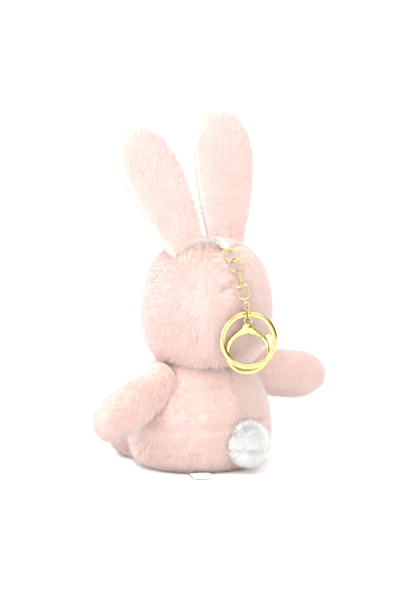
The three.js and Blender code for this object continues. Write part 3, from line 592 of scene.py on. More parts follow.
@dataclass(frozen=True)
class Pile:
    """The cut of a fur: tuft length, spacing and lean in radians, and the way it is brushed."""

    length_mm: float = 4.0
    spacing_mm: float = 0.66
    width_mm: float = 0.5
    lean: float = 0.85
    brushed: tuple[float, float, float] = (0.0, 0.0, -1.0)
    wander: float = 0.5
    stray: float = 0.32
    lean_spread: float = 0.16
    lean_limits: tuple[float, float] = (0.2, 1.35)
    length_shares: tuple[float, float] = (0.72, 1.08)
    width_shares: tuple[float, float] = (0.8, 1.2)
    sunk_mm: float = 0.25
    table_gap_mm: float = 0.15
    pressed_share: float = 0.5
    # painted shade: how far the tone of a tuft pressed by a crease is lowered
    fold_shade: float = 0.35

    def grow(
        self,
        piece: bpy.types.Object,
        seed: int,
        creases: Sequence[Crease] = (),
        bare: Mask | None = None,
    ) -> None:
        """Adds the tufts to a skin as closed, three-sided tapers in its second material slot.

        Args:
            piece: The skin, whose mesh is rebuilt with the tufts in it.
            seed: Starts the piece's own row of random numbers.
            creases: Lines along which the tufts are pressed short, and toned darker as painted shade.
            bare: Says which points carry no tuft.
        """
        draw = np.random.default_rng(seed)
        roots, out = self.scatter(piece, draw, bare)
        heading = self.comb(roots, out, draw)
        count = len(roots)
        pressed = np.zeros(count)
        for crease in creases:
            if crease.depth_mm > 0:
                pressed = np.maximum(pressed, crease.closeness(roots))
        shortened = 1 - self.pressed_share * pressed
        length = self.length_mm * draw.uniform(*self.length_shares, count) * shortened
        tips = roots + heading * length[:, None]
        tips[:, 2] = np.maximum(tips[:, 2], self.table_gap_mm)
        across = unit(np.cross(heading, out))
        lift = np.cross(across, heading)
        half = self.width_mm / 2 * draw.uniform(*self.width_shares, count)[:, None]
        sunk = roots - out * self.sunk_mm
        corners = [sunk + across * half, sunk - across * half, sunk + lift * half * 1.2, tips]
        # shaded mostly like the skin, so that the fur reads as one soft surface
        facing = [out + across * 0.5, out - across * 0.5, out + lift * 0.5, out + heading * 0.4]
        # painted shade: tufts pressed by a crease get a lower tone, so they are mixed towards the darker
        # colour
        tone = draw.random(count) - self.fold_shade * pressed
        add_tufts(piece, np.stack(corners, axis=1), unit(np.stack(facing, axis=1)), tone)
        LOG.info("%s: %d tufts", piece.name, count)

    def scatter(
        self, piece: bpy.types.Object, draw: np.random.Generator, bare: Mask | None
    ) -> tuple[np.ndarray, np.ndarray]:
        """Picks the tufts' roots, spread evenly over the skin's area.

        Args:
            piece: The skin.
            draw: The piece's own row of random numbers.
            bare: Says which points carry no tuft.

        Returns:
            The roots, and the direction out of the skin at each.
        """
        points, normals, triangles = read_mesh(piece.data)
        corners = points[triangles]
        sides = corners[:, 1:] - corners[:, :1]
        area = np.linalg.norm(np.cross(sides[:, 0], sides[:, 1]), axis=1) / 2
        count = int(area.sum() / self.spacing_mm**2)
        steps = (np.arange(count) + draw.random(count)) / count * area.sum()
        chosen = np.minimum(np.searchsorted(np.cumsum(area), steps), len(area) - 1)
        first, second = np.sqrt(draw.random(count)), draw.random(count)
        weights = np.stack([1 - first, first * (1 - second), first * second], axis=1)[:, :, None]
        roots = (points[triangles[chosen]] * weights).sum(axis=1)
        out = unit((normals[triangles[chosen]] * weights).sum(axis=1))
        if bare is None:
            return roots, out
        kept = ~bare(roots)
        return roots[kept], out[kept]

    def comb(self, roots: np.ndarray, out: np.ndarray, draw: np.random.Generator) -> np.ndarray:
        """Finds the tufts' directions: brushed along the skin, a little astray, and leant over.

        Args:
            roots: The tufts' roots.
            out: The direction out of the skin at each.
            draw: The piece's own row of random numbers.

        Returns:
            One direction for each tuft.
        """
        brushed = np.array(self.brushed) + self.swirl(roots) * self.wander
        nap = unit(brushed - out * (brushed * out).sum(axis=1, keepdims=True))
        stray = draw.normal(0, self.stray, len(roots))[:, None]
        nap = unit(nap * np.cos(stray) + np.cross(out, nap) * np.sin(stray))
        lean = np.clip(draw.normal(self.lean, self.lean_spread, len(roots)), *self.lean_limits)[:, None]
        return out * np.cos(lean) + nap * np.sin(lean)

    @staticmethod
    def swirl(points: np.ndarray) -> np.ndarray:
        """A slow, smooth drift of the brushing over the surface, in waves of about 20 mm."""
        x, y, z = (points / 6.5).T
        drift = [np.sin(1.7 * y + 0.6 * z), np.sin(1.3 * z + 0.8 * x + 2), np.sin(1.9 * x - 0.7 * y + 4)]
        return np.stack(drift, axis=1)


def pull_in(piece: bpy.types.Object, creases: Sequence[Crease]) -> None:
    """Pulls a skin in along its creases."""
    points, normals, _ = read_mesh(piece.data)
    for crease in creases:
        points = points - normals * (crease.closeness(points) * crease.depth_mm)[:, None]
    write_points(piece, points)


def settle_piece(piece: bpy.types.Object, body: str, slot: str, *nodes: str) -> None:
    """Reports a finished piece, gives it its body, and hides the frame nodes that it stands for."""
    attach(piece, body)
    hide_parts(*nodes)
    LOG.info("%s rides on %s: %d faces", piece.name, body, len(piece.data.polygons))


# ---------------------------------------------------------------- the rabbit


def tapered(
    shares: Sequence[Sequence[float]], half_width: float, length: float, rings: int
) -> np.ndarray:
    """The outline of a limb that closes at its tip.

    Args:
        shares: Half width and distance along the limb, as shares of the largest.
        half_width: The largest half width.
        length: The limb's length.
        rings: How many rings the result has.

    Returns:
        Radius and height of each ring, with a radius of 0 at the tip.
    """
    outline = through([(half_width * wide, length * along) for wide, along in shares], rings)
    outline[-1, 0] = 0
    outline[:, 0] = np.maximum(outline[:, 0], 0)
    return outline


class Side(Enum):
    """The rabbit's own left and right."""

    LEFT = "left"
    RIGHT = "right"


@dataclass
class Head:
    """The head: an egg with full sides, gathered into the neck seam, with its stitched face."""

    lower_power: float = 2.2
    upper_power: float = 2.6
    widest_share: float = 0.366
    drop_share: float = 1.315
    around: int = 40
    rings: int = 22
    dimple_turn: float = math.radians(68)
    dimple_height: float = 98.0
    dimple_run: tuple[float, float, float] = (-4.0, 1.0, 0.6)
    gather_ends: tuple[tuple[float, float], ...] = ((7.0, 3.5), (8.0, 0.0), (6.5, -3.6))
    ear_seam_half: float = 9.0
    ear_seam_back: float = 5.0
    ear_seam_drop: float = 4.0

    def __post_init__(self) -> None:
        """Reads the head's size and place from the frame."""
        self.low, self.high = box_mm("head_cover")
        self.centre = (self.low + self.high) / 2
        self.half_width, self.half_depth, _ = (self.high - self.low) / 2
        self.widest = self.low[2] + (self.high[2] - self.low[2]) * self.widest_share
        self.rise = self.high[2] - self.widest
        self.drop = (self.widest - self.low[2]) * self.drop_share

    def outline(self) -> np.ndarray:
        """Radius and height of each ring, from the neck to the crown."""
        start = -math.asin(((self.widest - self.low[2]) / self.drop) ** (self.lower_power / 2))
        angle = np.linspace(start, math.pi / 2, self.rings)
        power = np.where(angle < 0, 2 / self.lower_power, 2 / self.upper_power)
        reach = np.where(angle < 0, -self.drop, self.rise)
        radius = self.half_width * np.abs(np.cos(angle)) ** power
        radius[-1] = 0
        return np.stack([radius, self.widest + np.abs(np.sin(angle)) ** power * reach], axis=1)

    def skin_at(self, turn: float, height: float) -> np.ndarray:
        """The place on the frame's head at a turn about its middle and a height."""
        up = height > self.widest
        power = self.upper_power if up else self.lower_power
        level = abs(height - self.widest) / (self.rise if up else self.drop)
        girth = (1 - level**power) ** (1 / power)
        x = self.centre[0] + self.half_width * girth * math.cos(turn)
        return np.array([x, self.centre[1] + self.half_depth * girth * math.sin(turn), height])

    def creases(self) -> list[Crease]:
        """The pinch at the back, and the gathers where the ears are sewn in."""
        dimple = self.skin_at(self.dimple_turn, self.dimple_height)
        pinch = np.array([dimple, dimple + self.dimple_run])
        found = [Crease(pinch, depth_mm=2.2, width_mm=2.4)]
        for spread, rise in self.gather_ends:
            end = self.skin_at(self.dimple_turn + spread / self.half_width, self.dimple_height + rise)
            found.append(Crease(np.array([dimple, end]), depth_mm=0.7, width_mm=1.0))
        for side in Side:
            joint = JOINTS[f"{side.value}_ear_fold"]
            root = joint_point(joint["name"])
            run = np.array(joint["axis"]) * self.ear_seam_half
            line = np.array([root - run, root + run]) + [0.0, self.ear_seam_back, 0.0]
            line[:, 2] = self.high[2] - self.ear_seam_drop
            found.append(Crease(line, depth_mm=-1.2, width_mm=4.5))
        return found

    def build(self) -> None:
        """Builds the head's cover, which is bare where the face is stitched."""
        rings = turned_rings(self.outline(), self.around, self.half_depth / self.half_width)
        points, faces = ring_grid(rings)
        points[:, :2] += self.centre[:2]
        piece = new_piece("head_plush", points, faces, [Finish.PINK_BACKING, Finish.PINK_PILE])
        sewn = (points[:, 2] < self.low[2] + 0.5).astype(float)
        Stuffing().fill(piece, sewn)
        refine(piece, 2)
        creases = self.creases()
        pull_in(piece, creases)
        stitched = [box_mm(name) for name in ("left_eye", "right_eye", "nose")]

        def bare(roots: np.ndarray) -> np.ndarray:
            """Where the stitched face covers the cloth."""
            hidden = np.zeros(len(roots), bool)
            for low, high in stitched:
                middle, half = (low + high) / 2, (high - low) / 2 + 0.7
                away = ((roots[:, [0, 2]] - middle[[0, 2]]) / half[[0, 2]]) ** 2
                hidden |= (away.sum(axis=1) < 1) & (roots[:, 1] < self.centre[1])
            return hidden

        Pile().grow(piece, PILE_SEEDS["head"], creases, bare)
        settle_piece(piece, "root", "pink_plush", "head_cover", "head_filling")


@dataclass
class Body:
    """The body: a sitting pear on a flat seat, with a seam down the middle of its back."""

    inset: float = 0.6
    around: int = 40
    rings: int = 20
    seat_share: float = 0.55
    seat_gap: float = 0.35
    seat_edge: float = 0.6
    lowest_ring: float = 2.5
    bare_below: float = 0.8
    sewn_below: float = 1.2
    least_half_width: float = 20.0
    back_seam_drop: float = 2.0
    back_seam_foot: float = 27.0
    arm_seam_drop: float = 4.0
    arm_seam_foot: float = 33.0
    arm_seam_turn: float = math.radians(30)

    def __post_init__(self) -> None:
        """Reads the body's box and its side profile from the frame."""
        self.low, self.high = box_mm("body_cover")
        self.depth_share = (self.high[1] - self.low[1]) / (self.high[0] - self.low[0])
        points = node_points("body_cover")
        side = points[(np.abs(points[:, 1]) < 1e-3) & (points[:, 0] > 0)]
        heights = np.unique(side[:, 2].round(3))
        widest = np.array([side[np.abs(side[:, 2] - level) < 2e-3, 0].max() for level in heights])
        outer = widest > self.least_half_width
        self.profile = heights[outer], widest[outer]

    def half_width(self, height: float | np.ndarray) -> float | np.ndarray:
        """Half the width of the frame's body at a height."""
        return np.interp(height, *self.profile)

    def outline(self) -> np.ndarray:
        """Radius and height of each ring, from the middle of the seat to the neck."""
        floor = self.low[2] + self.seat_gap
        flat = [[0.0, floor], [self.half_width(0.0) * self.seat_share, floor]]
        heights = np.append(self.seat_edge, np.linspace(self.lowest_ring, self.high[2], self.rings))
        radius = self.half_width(heights) - self.inset
        return np.vstack([flat, np.stack([radius, heights + floor * (heights < 1)], axis=1)])

    def creases(self) -> list[Crease]:
        """The back seam, and the seams that each arm is sewn into."""
        back = self.depth_share
        heights = np.linspace(self.high[2] - self.back_seam_drop, self.back_seam_foot, 6)
        seam = np.stack([0 * heights, self.half_width(heights) * back, heights], axis=1)
        found = [Crease(seam, depth_mm=1.3, width_mm=1.3)]
        heights = np.linspace(self.high[2] - self.arm_seam_drop, self.arm_seam_foot, 5)
        wide = self.half_width(heights)
        for sign in (1, -1):
            x = sign * wide * math.cos(self.arm_seam_turn)
            y = wide * back * math.sin(self.arm_seam_turn)
            found.append(Crease(np.stack([x, y, heights], axis=1), depth_mm=0.8, width_mm=2.4))
        return found

    def build(self) -> None:
        """Builds the body's cover."""
        points, faces = ring_grid(turned_rings(self.outline(), self.around, self.depth_share))
        piece = new_piece("body_plush", points, faces, [Finish.PINK_BACKING, Finish.PINK_PILE])
        seam = (np.abs(points[:, 0]) < 0.2) & (points[:, 1] > 0)
        sewn = (points[:, 2] < self.sewn_below) | (points[:, 2] > self.high[2] - 0.5)
        Stuffing().fill(piece, np.where(sewn, 1.0, np.where(seam, 0.9, 0.0)))
        refine(piece, 2)
        creases = self.creases()
        pull_in(piece, creases)
        Pile().grow(piece, PILE_SEEDS["body"], creases, lambda roots: roots[:, 2] < self.bare_below)
        settle_piece(piece, "root", "pink_plush", "body_cover", "body_filling")


@dataclass
class Arm:
    """One arm: a mitten-shaped cover, sewn to the body's side along its open root."""

    side: Side
    inset: float = 0.7
    around: int = 24
    rings: int = 16
    seam_turn: float = math.radians(212)
    seam_half_turn: float = 0.14
    sewn_mm: float = 4.0
    bend_mm: tuple[float, float] = (2.0, 16.0)
    # the mitten's half width and distance from the shoulder, as shares of the largest
    shares: tuple[tuple[float, float], ...] = (
        (0.9, 0.02),
        (0.95, 0.3),
        (1, 0.6),
        (0.93, 0.8),
        (0.66, 0.93),
        (0.3, 0.99),
        (0, 1),
    )

    def build(self) -> None:
        """Builds the arm's cover, with a crease pulled in along its seam."""
        name = self.side.value
        shoulder = joint_point(f"{name}_arm_lift")
        cover = node_points(f"{name}_arm_cover")
        tip = cover[np.linalg.norm(cover - shoulder, axis=1).argmax()]
        basis = Basis.facing(shoulder, tip - shoulder, UP)
        half, thick, _ = np.abs(basis.local(cover)).max(axis=0) - self.inset
        reach = np.linalg.norm(tip - shoulder) - self.inset
        outline = tapered(self.shares, half, reach, self.rings)
        flatness = thick / half
        points, faces = ring_grid(turned_rings(outline, self.around, flatness, 2.1))
        piece = new_piece(
            f"{name}_arm_plush", basis.place(points), faces, [Finish.PINK_BACKING, Finish.PINK_PILE]
        )
        seam_turn = self.seam_turn if self.side is Side.LEFT else -self.seam_turn
        turn = np.arctan2(points[:, 1] / flatness, points[:, 0])
        seam = np.abs(np.angle(np.exp(1j * (turn - seam_turn)))) < self.seam_half_turn
        Stuffing().fill(piece, np.where(points[:, 2] < self.sewn_mm, 1.0, np.where(seam, 0.85, 0.0)))
        refine(piece, 2)
        radius, along = outline[2:-2].T
        x, y = radius * math.cos(seam_turn), radius * flatness * math.sin(seam_turn)
        creases = [Crease(basis.place(np.stack([x, y, along], axis=1)), depth_mm=1.8, width_mm=1.5)]
        pull_in(piece, creases)
        brushed = basis.along * 0.8 - UP * 0.6
        pile = Pile(length_mm=3.5, brushed=tuple(brushed), wander=0.35)
        pile.grow(piece, PILE_SEEDS[f"{name}_arm"], creases)
        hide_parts(f"{name}_arm_cover", f"{name}_arm_filling")
        start, end = (basis.place(np.array([0, 0, level])) * MM for level in self.bend_mm)
        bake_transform(piece)
        LOG.info("%s bends between root and %s_arm", piece.name, name)


@dataclass
class Ear:
    """One ear: two long ovals sewn edge to edge, lightly padded, and gathered at the root."""

    side: Side
    inset: float = 0.8
    around: int = 24
    rings: int = 20
    sewn_mm: float = 3.0
    edge_share: float = 0.25
    bend_mm: tuple[float, float] = (1.0, 14.0)
    # the oval's half width and distance from the root, as shares of the largest
    shares: tuple[tuple[float, float], ...] = (
        (0.56, 0),
        (0.69, 0.15),
        (0.87, 0.34),
        (0.985, 0.55),
        (0.98, 0.74),
        (0.78, 0.9),
        (0.4, 0.98),
        (0, 1),
    )

    def build(self) -> None:
        """Builds the ear's cover, with gathers pulled in near its root."""
        name = self.side.value
        joint = JOINTS[f"{name}_ear_fold"]
        root = joint_point(joint["name"])
        cover = node_points(f"{name}_ear_cover")
        tip = cover[np.linalg.norm(cover - root, axis=1).argmax()]
        basis = Basis.facing(root, tip - root, np.array(joint["axis"]))
        extent = np.abs(basis.local(cover)).max(axis=0)
        half, thick, reach = extent - self.inset * np.array([1, 0.6, 1])
        outline = tapered(self.shares, half, reach, self.rings)
        points, faces = ring_grid(turned_rings(outline, self.around, thick / half, 1.8))
        piece = new_piece(
            f"{name}_ear_plush", basis.place(points), faces, [Finish.PINK_BACKING, Finish.PINK_PILE]
        )
        sewn = (points[:, 2] < self.sewn_mm) | (np.abs(points[:, 1]) < self.edge_share * thick / half)
        Stuffing(pressure=3.5, most_mm=1.6).fill(piece, np.where(sewn, 1.0, 0.0))
        refine(piece, 2)
        gather = np.array([[-half * 0.15, thick, 1.0], [-half * 0.1, thick * 0.9, 9.0]])
        creases = [
            Crease(basis.place(gather * [1, face, 1]), depth_mm=1.2, width_mm=2.6) for face in (1, -1)
        ]
        pull_in(piece, creases)
        pile = Pile(length_mm=3.8, brushed=tuple(basis.along), lean=0.95, wander=0.35)
        pile.grow(piece, PILE_SEEDS[f"{name}_ear"], creases)
        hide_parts(f"{name}_ear_cover", f"{name}_ear_padding")
        start, end = (basis.place(np.array([0, 0, level])) * MM for level in self.bend_mm)
        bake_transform(piece)
        LOG.info("%s bends between root and %s_ear", piece.name, name)


def oval_outline(half_width: float, half_length: float, rings: int) -> np.ndarray:
    """Radius and height of the rings of an oval, from pole to pole."""
    angle = np.linspace(-math.pi / 2, math.pi / 2, rings)
    radius = half_width * np.cos(angle) ** 0.9
    radius[[0, -1]] = 0
    return np.stack([radius, half_length * np.sin(angle)], axis=1)


@dataclass
class Foot:
    """One foot: a stuffed oval that points forwards from under the body."""

    side: Side
    inset: float = 0.4
    front: float = 32.0
    length: float = 46.0
    splay: float = 0.2
    covered_behind: float = -20.0
    held_behind: float = -8.0

    def build(self) -> None:
        """Builds the foot's cover."""
        name = f"{self.side.value}_foot"
        low, high = box_mm(name)
        middle, half = (low + high) / 2, (high - low) / 2
        sign = 1 if self.side is Side.LEFT else -1
        heading = unit(np.array([sign * self.splay, -1.0, 0.0]))
        shown = np.array([middle[0], low[1] + self.front / 2, middle[2]])
        origin = shown - heading * (self.length - self.front) / 2
        basis = Basis.facing(origin, heading, np.array([1.0, 0, 0]))
        outline = oval_outline(half[2] - self.inset, self.length / 2 - self.inset, 16)
        points, faces = ring_grid(turned_rings(outline, 24, 1.0))
        piece = new_piece(
            f"{name}_plush", basis.place(points), faces, [Finish.PINK_BACKING, Finish.PINK_PILE]
        )
        sewn = (np.abs(points[:, 0]) < 0.5) | (points[:, 2] < self.held_behind)
        Stuffing(most_mm=1.8).fill(piece, np.where(sewn, 1.0, 0.0))
        refine(piece, 1)
        pile = Pile(length_mm=4.2, brushed=tuple(-heading))
        pile.grow(piece, PILE_SEEDS[name], (), lambda roots: roots[:, 1] > self.covered_behind)
        settle_piece(piece, "root", "pink_plush", name)


@dataclass
class Tail:
    """The tail: a white puff of longer pile, drawn in across its middle by the thread that sews it on."""

    inset: float = 2.0
    depth_share: float = 17 / 19
    groove_share: float = 0.4
    groove_depth: float = 2.2
    groove_half: float = 0.9
    sewn_mm: float = 2.0
    bare_mm: float = 3.0

    def build(self) -> None:
        """Builds the tail."""
        low, high = box_mm("tail")
        middle, half = (low + high) / 2, (high - low) / 2
        depth = half[0] * self.depth_share
        front = high[1] - 2 * depth
        outline = oval_outline(half[0] - self.inset, half[2] - self.inset, 22)
        points, faces = ring_grid(turned_rings(outline, 28, depth / half[0], 2.2))
        points += [middle[0], high[1] - depth, middle[2]]
        piece = new_piece("tail_plush", points, faces, [Finish.WHITE_BACKING, Finish.WHITE_PILE])
        level = low[2] + (high[2] - low[2]) * self.groove_share
        sewn = (np.abs(points[:, 2] - level) < self.groove_half) | (points[:, 1] < front + self.sewn_mm)
        Stuffing(most_mm=1.8).fill(piece, np.where(sewn, 1.0, 0.0))
        refine(piece, 2)
        turns = np.linspace(0, math.pi, 9)
        x = middle[0] + (half[0] - 1) * np.cos(turns)
        y = high[1] - depth + (depth - 1) * np.sin(turns)
        groove = Crease(np.stack([x, y, 0 * x + level], axis=1), self.groove_depth, width_mm=1.9)
        pull_in(piece, [groove])
        pile = Pile(length_mm=5.0, spacing_mm=0.5, width_mm=0.55, wander=0.7)
        pile.grow(piece, PILE_SEEDS["tail"], [groove], lambda roots: roots[:, 1] < front + self.bare_mm)
        settle_piece(piece, "root", "white_plush", "tail")


@dataclass(frozen=True)
class Stitching:
    """A shape filled with satin stitch: strands side by side, arched over a pad."""

    node: str
    name: str
    slot: str
    finish: Finish
    strand_mm: float = 0.42
    rise_mm: float = 2.3
    sunk_mm: float = 0.5
    steps: int = 8

    def build(self, head: Head) -> None:
        """Builds the stitching over its oval on the head."""
        low, high = box_mm(self.node)
        middle, half = (low + high) / 2, (high - low) / 2
        count = int(2 * half[2] / self.strand_mm)
        points, faces, corners = [], [], 0
        for row in range(count):
            z = -half[2] + (row + 0.5) * 2 * half[2] / count
            reach = half[0] * math.sqrt(1 - (z / half[2]) ** 2)
            spine = []
            for step in range(self.steps + 1):
                x = reach * math.cos(math.pi * (1 - step / self.steps))
                arch = math.sqrt(max(0.0, 1 - (x / half[0]) ** 2 * 0.8 - (z / half[2]) ** 2 * 0.2))
                turn = -math.acos(np.clip((middle[0] + x - head.centre[0]) / head.half_width, -1, 1))
                y = head.skin_at(turn, middle[2] + z)[1]
                spine.append([middle[0] + x, y - self.rise_mm * arch + self.sunk_mm, middle[2] + z])
            ring_points, ring_faces = tube(np.array(spine), self.strand_mm * 0.56, 6)
            faces.extend([corner + corners for corner in face] for face in ring_faces)
            points.append(ring_points)
            corners += len(ring_points)
        piece = new_piece(self.name, np.vstack(points), faces, [self.finish])
        settle_piece(piece, "root", self.slot, self.node)


def tube(spine: np.ndarray, radius: float, sides: int, closed: bool = False) -> tuple[np.ndarray, list]:
    """A round wire along a line of points.

    Args:
        spine: The points of its middle line, in millimetres.
        radius: The wire's radius.
        sides: Points round the wire.
        closed: Whether the end joins the start.

    Returns:
        The points and the faces.
    """
    if closed:
        headings = unit(np.roll(spine, -1, axis=0) - np.roll(spine, 1, axis=0))
    else:
        headings = unit(np.gradient(spine, axis=0))
    flat = unit(np.linalg.svd(spine - spine.mean(axis=0), full_matrices=False)[2][-1])
    across = unit(np.cross(headings, flat))
    over = np.cross(across, headings)
    turn = np.arange(sides) / sides * 2 * np.pi
    rings = spine[:, None] + radius * (
        across[:, None] * np.cos(turn)[None, :, None] + over[:, None] * np.sin(turn)[None, :, None]
    )
    count = len(spine)
    faces = []
    for i in range(count if closed else count - 1):
        for j in range(sides):
            k, n = (j + 1) % sides, (i + 1) % count
            faces.append((i * sides + j, n * sides + j, n * sides + k, i * sides + k))
    if not closed:
        faces.append(tuple(range(sides)))
        faces.append(tuple((count - 1) * sides + j for j in range(sides))[::-1])
    return rings.reshape(-1, 3), faces


# ---------------------------------------------------------------- ribbon and label


@dataclass
class Ribbon:
    """The satin loop that is sewn into the crown seam and folded round the first ring."""

    edge_mm: float = 0.09
    ripple_mm: float = 0.12
    ripple_run: tuple[float, float, float] = (1.1, 0.7, 0.4)

    def build(self) -> None:
        """Builds the ribbon from the frame's loop, with softened folds and a slight ripple."""
        node = "ribbon_loop"
        piece = new_piece("satin_ribbon", node_points(node), node_faces(node), [Finish.SATIN])
        weld_and_round(piece, self.edge_mm)
        points, normals, _ = read_mesh(piece.data)
        wave = np.sin(points @ np.array(self.ripple_run)) * self.ripple_mm
        write_points(piece, points + normals * wave[:, None])
        settle_piece(piece, "root", "satin", "ribbon_loop")


@dataclass
class CareLabel:
    """The blank care label: a folded tape whose end sticks out from under the seat."""

    length_mm: float = 13.0
    lift_mm: float = 0.5
    lower_mm: float = 0.12
    fold_mm: float = 0.3
    fold_reach_mm: float = 0.25
    sunk_mm: float = 0.25
    half_tape_mm: float = 0.06
    bow_mm: float = 0.12
    least_width_mm: float = 8.0
    table_gap_mm: float = 0.03

    def spine(self) -> np.ndarray:
        """Distance inwards and height along the tape: out on the lower layer, round the fold and back."""
        share = np.linspace(0, 1, 14)
        turn = np.linspace(0.2, math.pi - 0.2, 5)
        fold_height = self.lower_mm + self.fold_mm + self.lift_mm
        upper_mm = self.lower_mm + 2 * self.fold_mm
        lower = [self.length_mm * (1 - share), self.lower_mm + self.lift_mm * share**2]
        fold = [-self.fold_reach_mm * np.sin(turn), fold_height - self.fold_mm * np.cos(turn)]
        upper = [self.length_mm * share, upper_mm + self.lift_mm * (1 - share) ** 2]
        return np.hstack([lower, fold, upper]).T

    def build(self) -> None:
        """Builds the label with its two layers, curled up at the free end."""
        points = node_points("care_label")
        corners = points[np.argsort(-np.linalg.norm(points[:, :2], axis=1))]
        free = corners[0]
        other = next(p for p in corners if np.linalg.norm((p - free)[:2]) > self.least_width_mm)
        edge = (other - free) * [1, 1, 0]
        inward = unit(np.cross(UP, edge))
        if inward[:2] @ free[:2] > 0:
            inward = -inward
        wide = np.linalg.norm(edge)
        spine = self.spine()
        heading = unit(np.gradient(spine, axis=0))
        off = np.stack([-heading[:, 1], heading[:, 0]], axis=1) * self.half_tape_mm
        faces, rows = [], []
        across = np.linspace(0, wide, 9)
        for side in (1, -1):
            line = spine + off * side
            for x in across:
                bow = self.bow_mm * math.sin(x / wide * math.pi)
                height = points[:, 2].min() - self.sunk_mm + line[:, 1:] + bow
                rows.append(free * [1, 1, 0] + unit(edge) * x + inward * line[:, :1] + UP * height)
        points = np.vstack(rows)
        run, columns = len(spine), len(across)
        for side in range(2):
            for i in range(columns - 1):
                for j in range(run - 1):
                    a = (side * columns + i) * run + j
                    face = (a, a + 1, a + run + 1, a + run)
                    faces.append(face if side == 0 else face[::-1])
        rim = [i * run for i in range(columns)] + [(columns - 1) * run + j for j in range(1, run)]
        rim += [i * run + run - 1 for i in range(columns - 2, -1, -1)] + list(range(run - 2, 0, -1))
        shift = columns * run
        faces.extend((a, a + shift, b + shift, b) for a, b in zip(rim, rim[1:] + rim[:1]))
        points[:, 2] = np.maximum(points[:, 2], self.table_gap_mm)
        piece = new_piece("care_label_tape", points, faces, [Finish.TAPE])
        settle_piece(piece, "root", "label_tape", "care_label")


# ---------------------------------------------------------------- hardware


def node_faces(node: str) -> list[tuple[int, ...]]:
    """The corners of each face of a frame node's mesh."""
    return [tuple(face.vertices) for face in frame["nodes"][node].data.polygons]


def weld(piece: bpy.types.Object) -> None:
    """Adds the joining of a copied mesh at its corners."""
    piece.modifiers.new("weld", "WELD").merge_threshold = WELD_M


def weld_and_round(piece: bpy.types.Object, edge_mm: float) -> None:
    """Joins a copied mesh at its corners and rounds its edges."""
    weld(piece)
    bevel = piece.modifiers.new("edges", "BEVEL")
    bevel.width = edge_mm * MM
    bevel.segments = 2
    bevel.limit_method = "ANGLE"
    bevel.angle_limit = math.radians(28)
    bevel.use_clamp_overlap = True
    bake_modifiers(piece)


def cast(
    node: str, name: str, grain_mm: float, passes: int, knob: Basis | None = None
) -> bpy.types.Object:
    """A smooth casting in a frame node's shape, with its edges and joints filleted by the polishing.

    Args:
        node: The frame node.
        name: The new piece's name.
        grain_mm: The size of the grid that it is cast on.
        passes: How far polishing softens it.
        knob: A round knob to cast on: its middle, and its half sizes as the lengths of its directions.

    Returns:
        The casting.
    """
    points, faces = node_points(node), node_faces(node)
    if knob is not None:
        knob_points, knob_faces = ring_grid(turned_rings(oval_outline(1.0, 1.0, 10), 24, 1.0))
        faces += [tuple(corner + len(points) for corner in face) for face in knob_faces]
        points = np.vstack([points, knob.place(knob_points)])
    piece = new_piece(name, points, faces, [Finish.GOLD])
    weld(piece)
    grid = piece.modifiers.new("grid", "REMESH")
    grid.mode = "VOXEL"
    grid.voxel_size = grain_mm * MM
    grid.use_smooth_shade = True
    polish = piece.modifiers.new("polish", "SMOOTH")
    polish.factor = 0.5
    polish.iterations = passes
    bake_modifiers(piece)
    piece.data.materials.clear()
    piece.data.materials.append(Finish.GOLD.material)
    piece.data.polygons.foreach_set("use_smooth", [True] * len(piece.data.polygons))
    return piece


@dataclass(frozen=True)
class WireRing:
    """A bent wire ring or link in the place of a frame node, cut through where it was closed."""

    node: str
    body: str
    wire_mm: float
    cut_mm: float = 0.16
    cut_turn: float = 2.2
    facets: int = 72
    sides: int = 14

    def build(self) -> None:
        """Builds the ring."""
        points = node_points(self.node)
        middle = points.mean(axis=0)
        axes = np.linalg.svd(points - middle, full_matrices=False)[2]
        reach = np.abs((points - middle) @ axes.T).max(axis=0)
        radius = reach[1] - self.wire_mm / 2
        straight = max(reach[0] - reach[1], 0.0)
        gap = self.cut_mm / 2 / radius
        turn = self.cut_turn + np.linspace(gap, 2 * math.pi - gap, self.facets)
        along = radius * np.cos(turn) + np.sign(np.cos(turn)) * straight
        spine = np.stack([along, radius * np.sin(turn), 0 * turn], axis=1) @ axes + middle
        ring_points, faces = tube(spine, self.wire_mm / 2, self.sides)
        piece = new_piece(f"{self.node}_wire", ring_points, faces, [Finish.GOLD])
        settle_piece(piece, self.body, "gold", self.node)


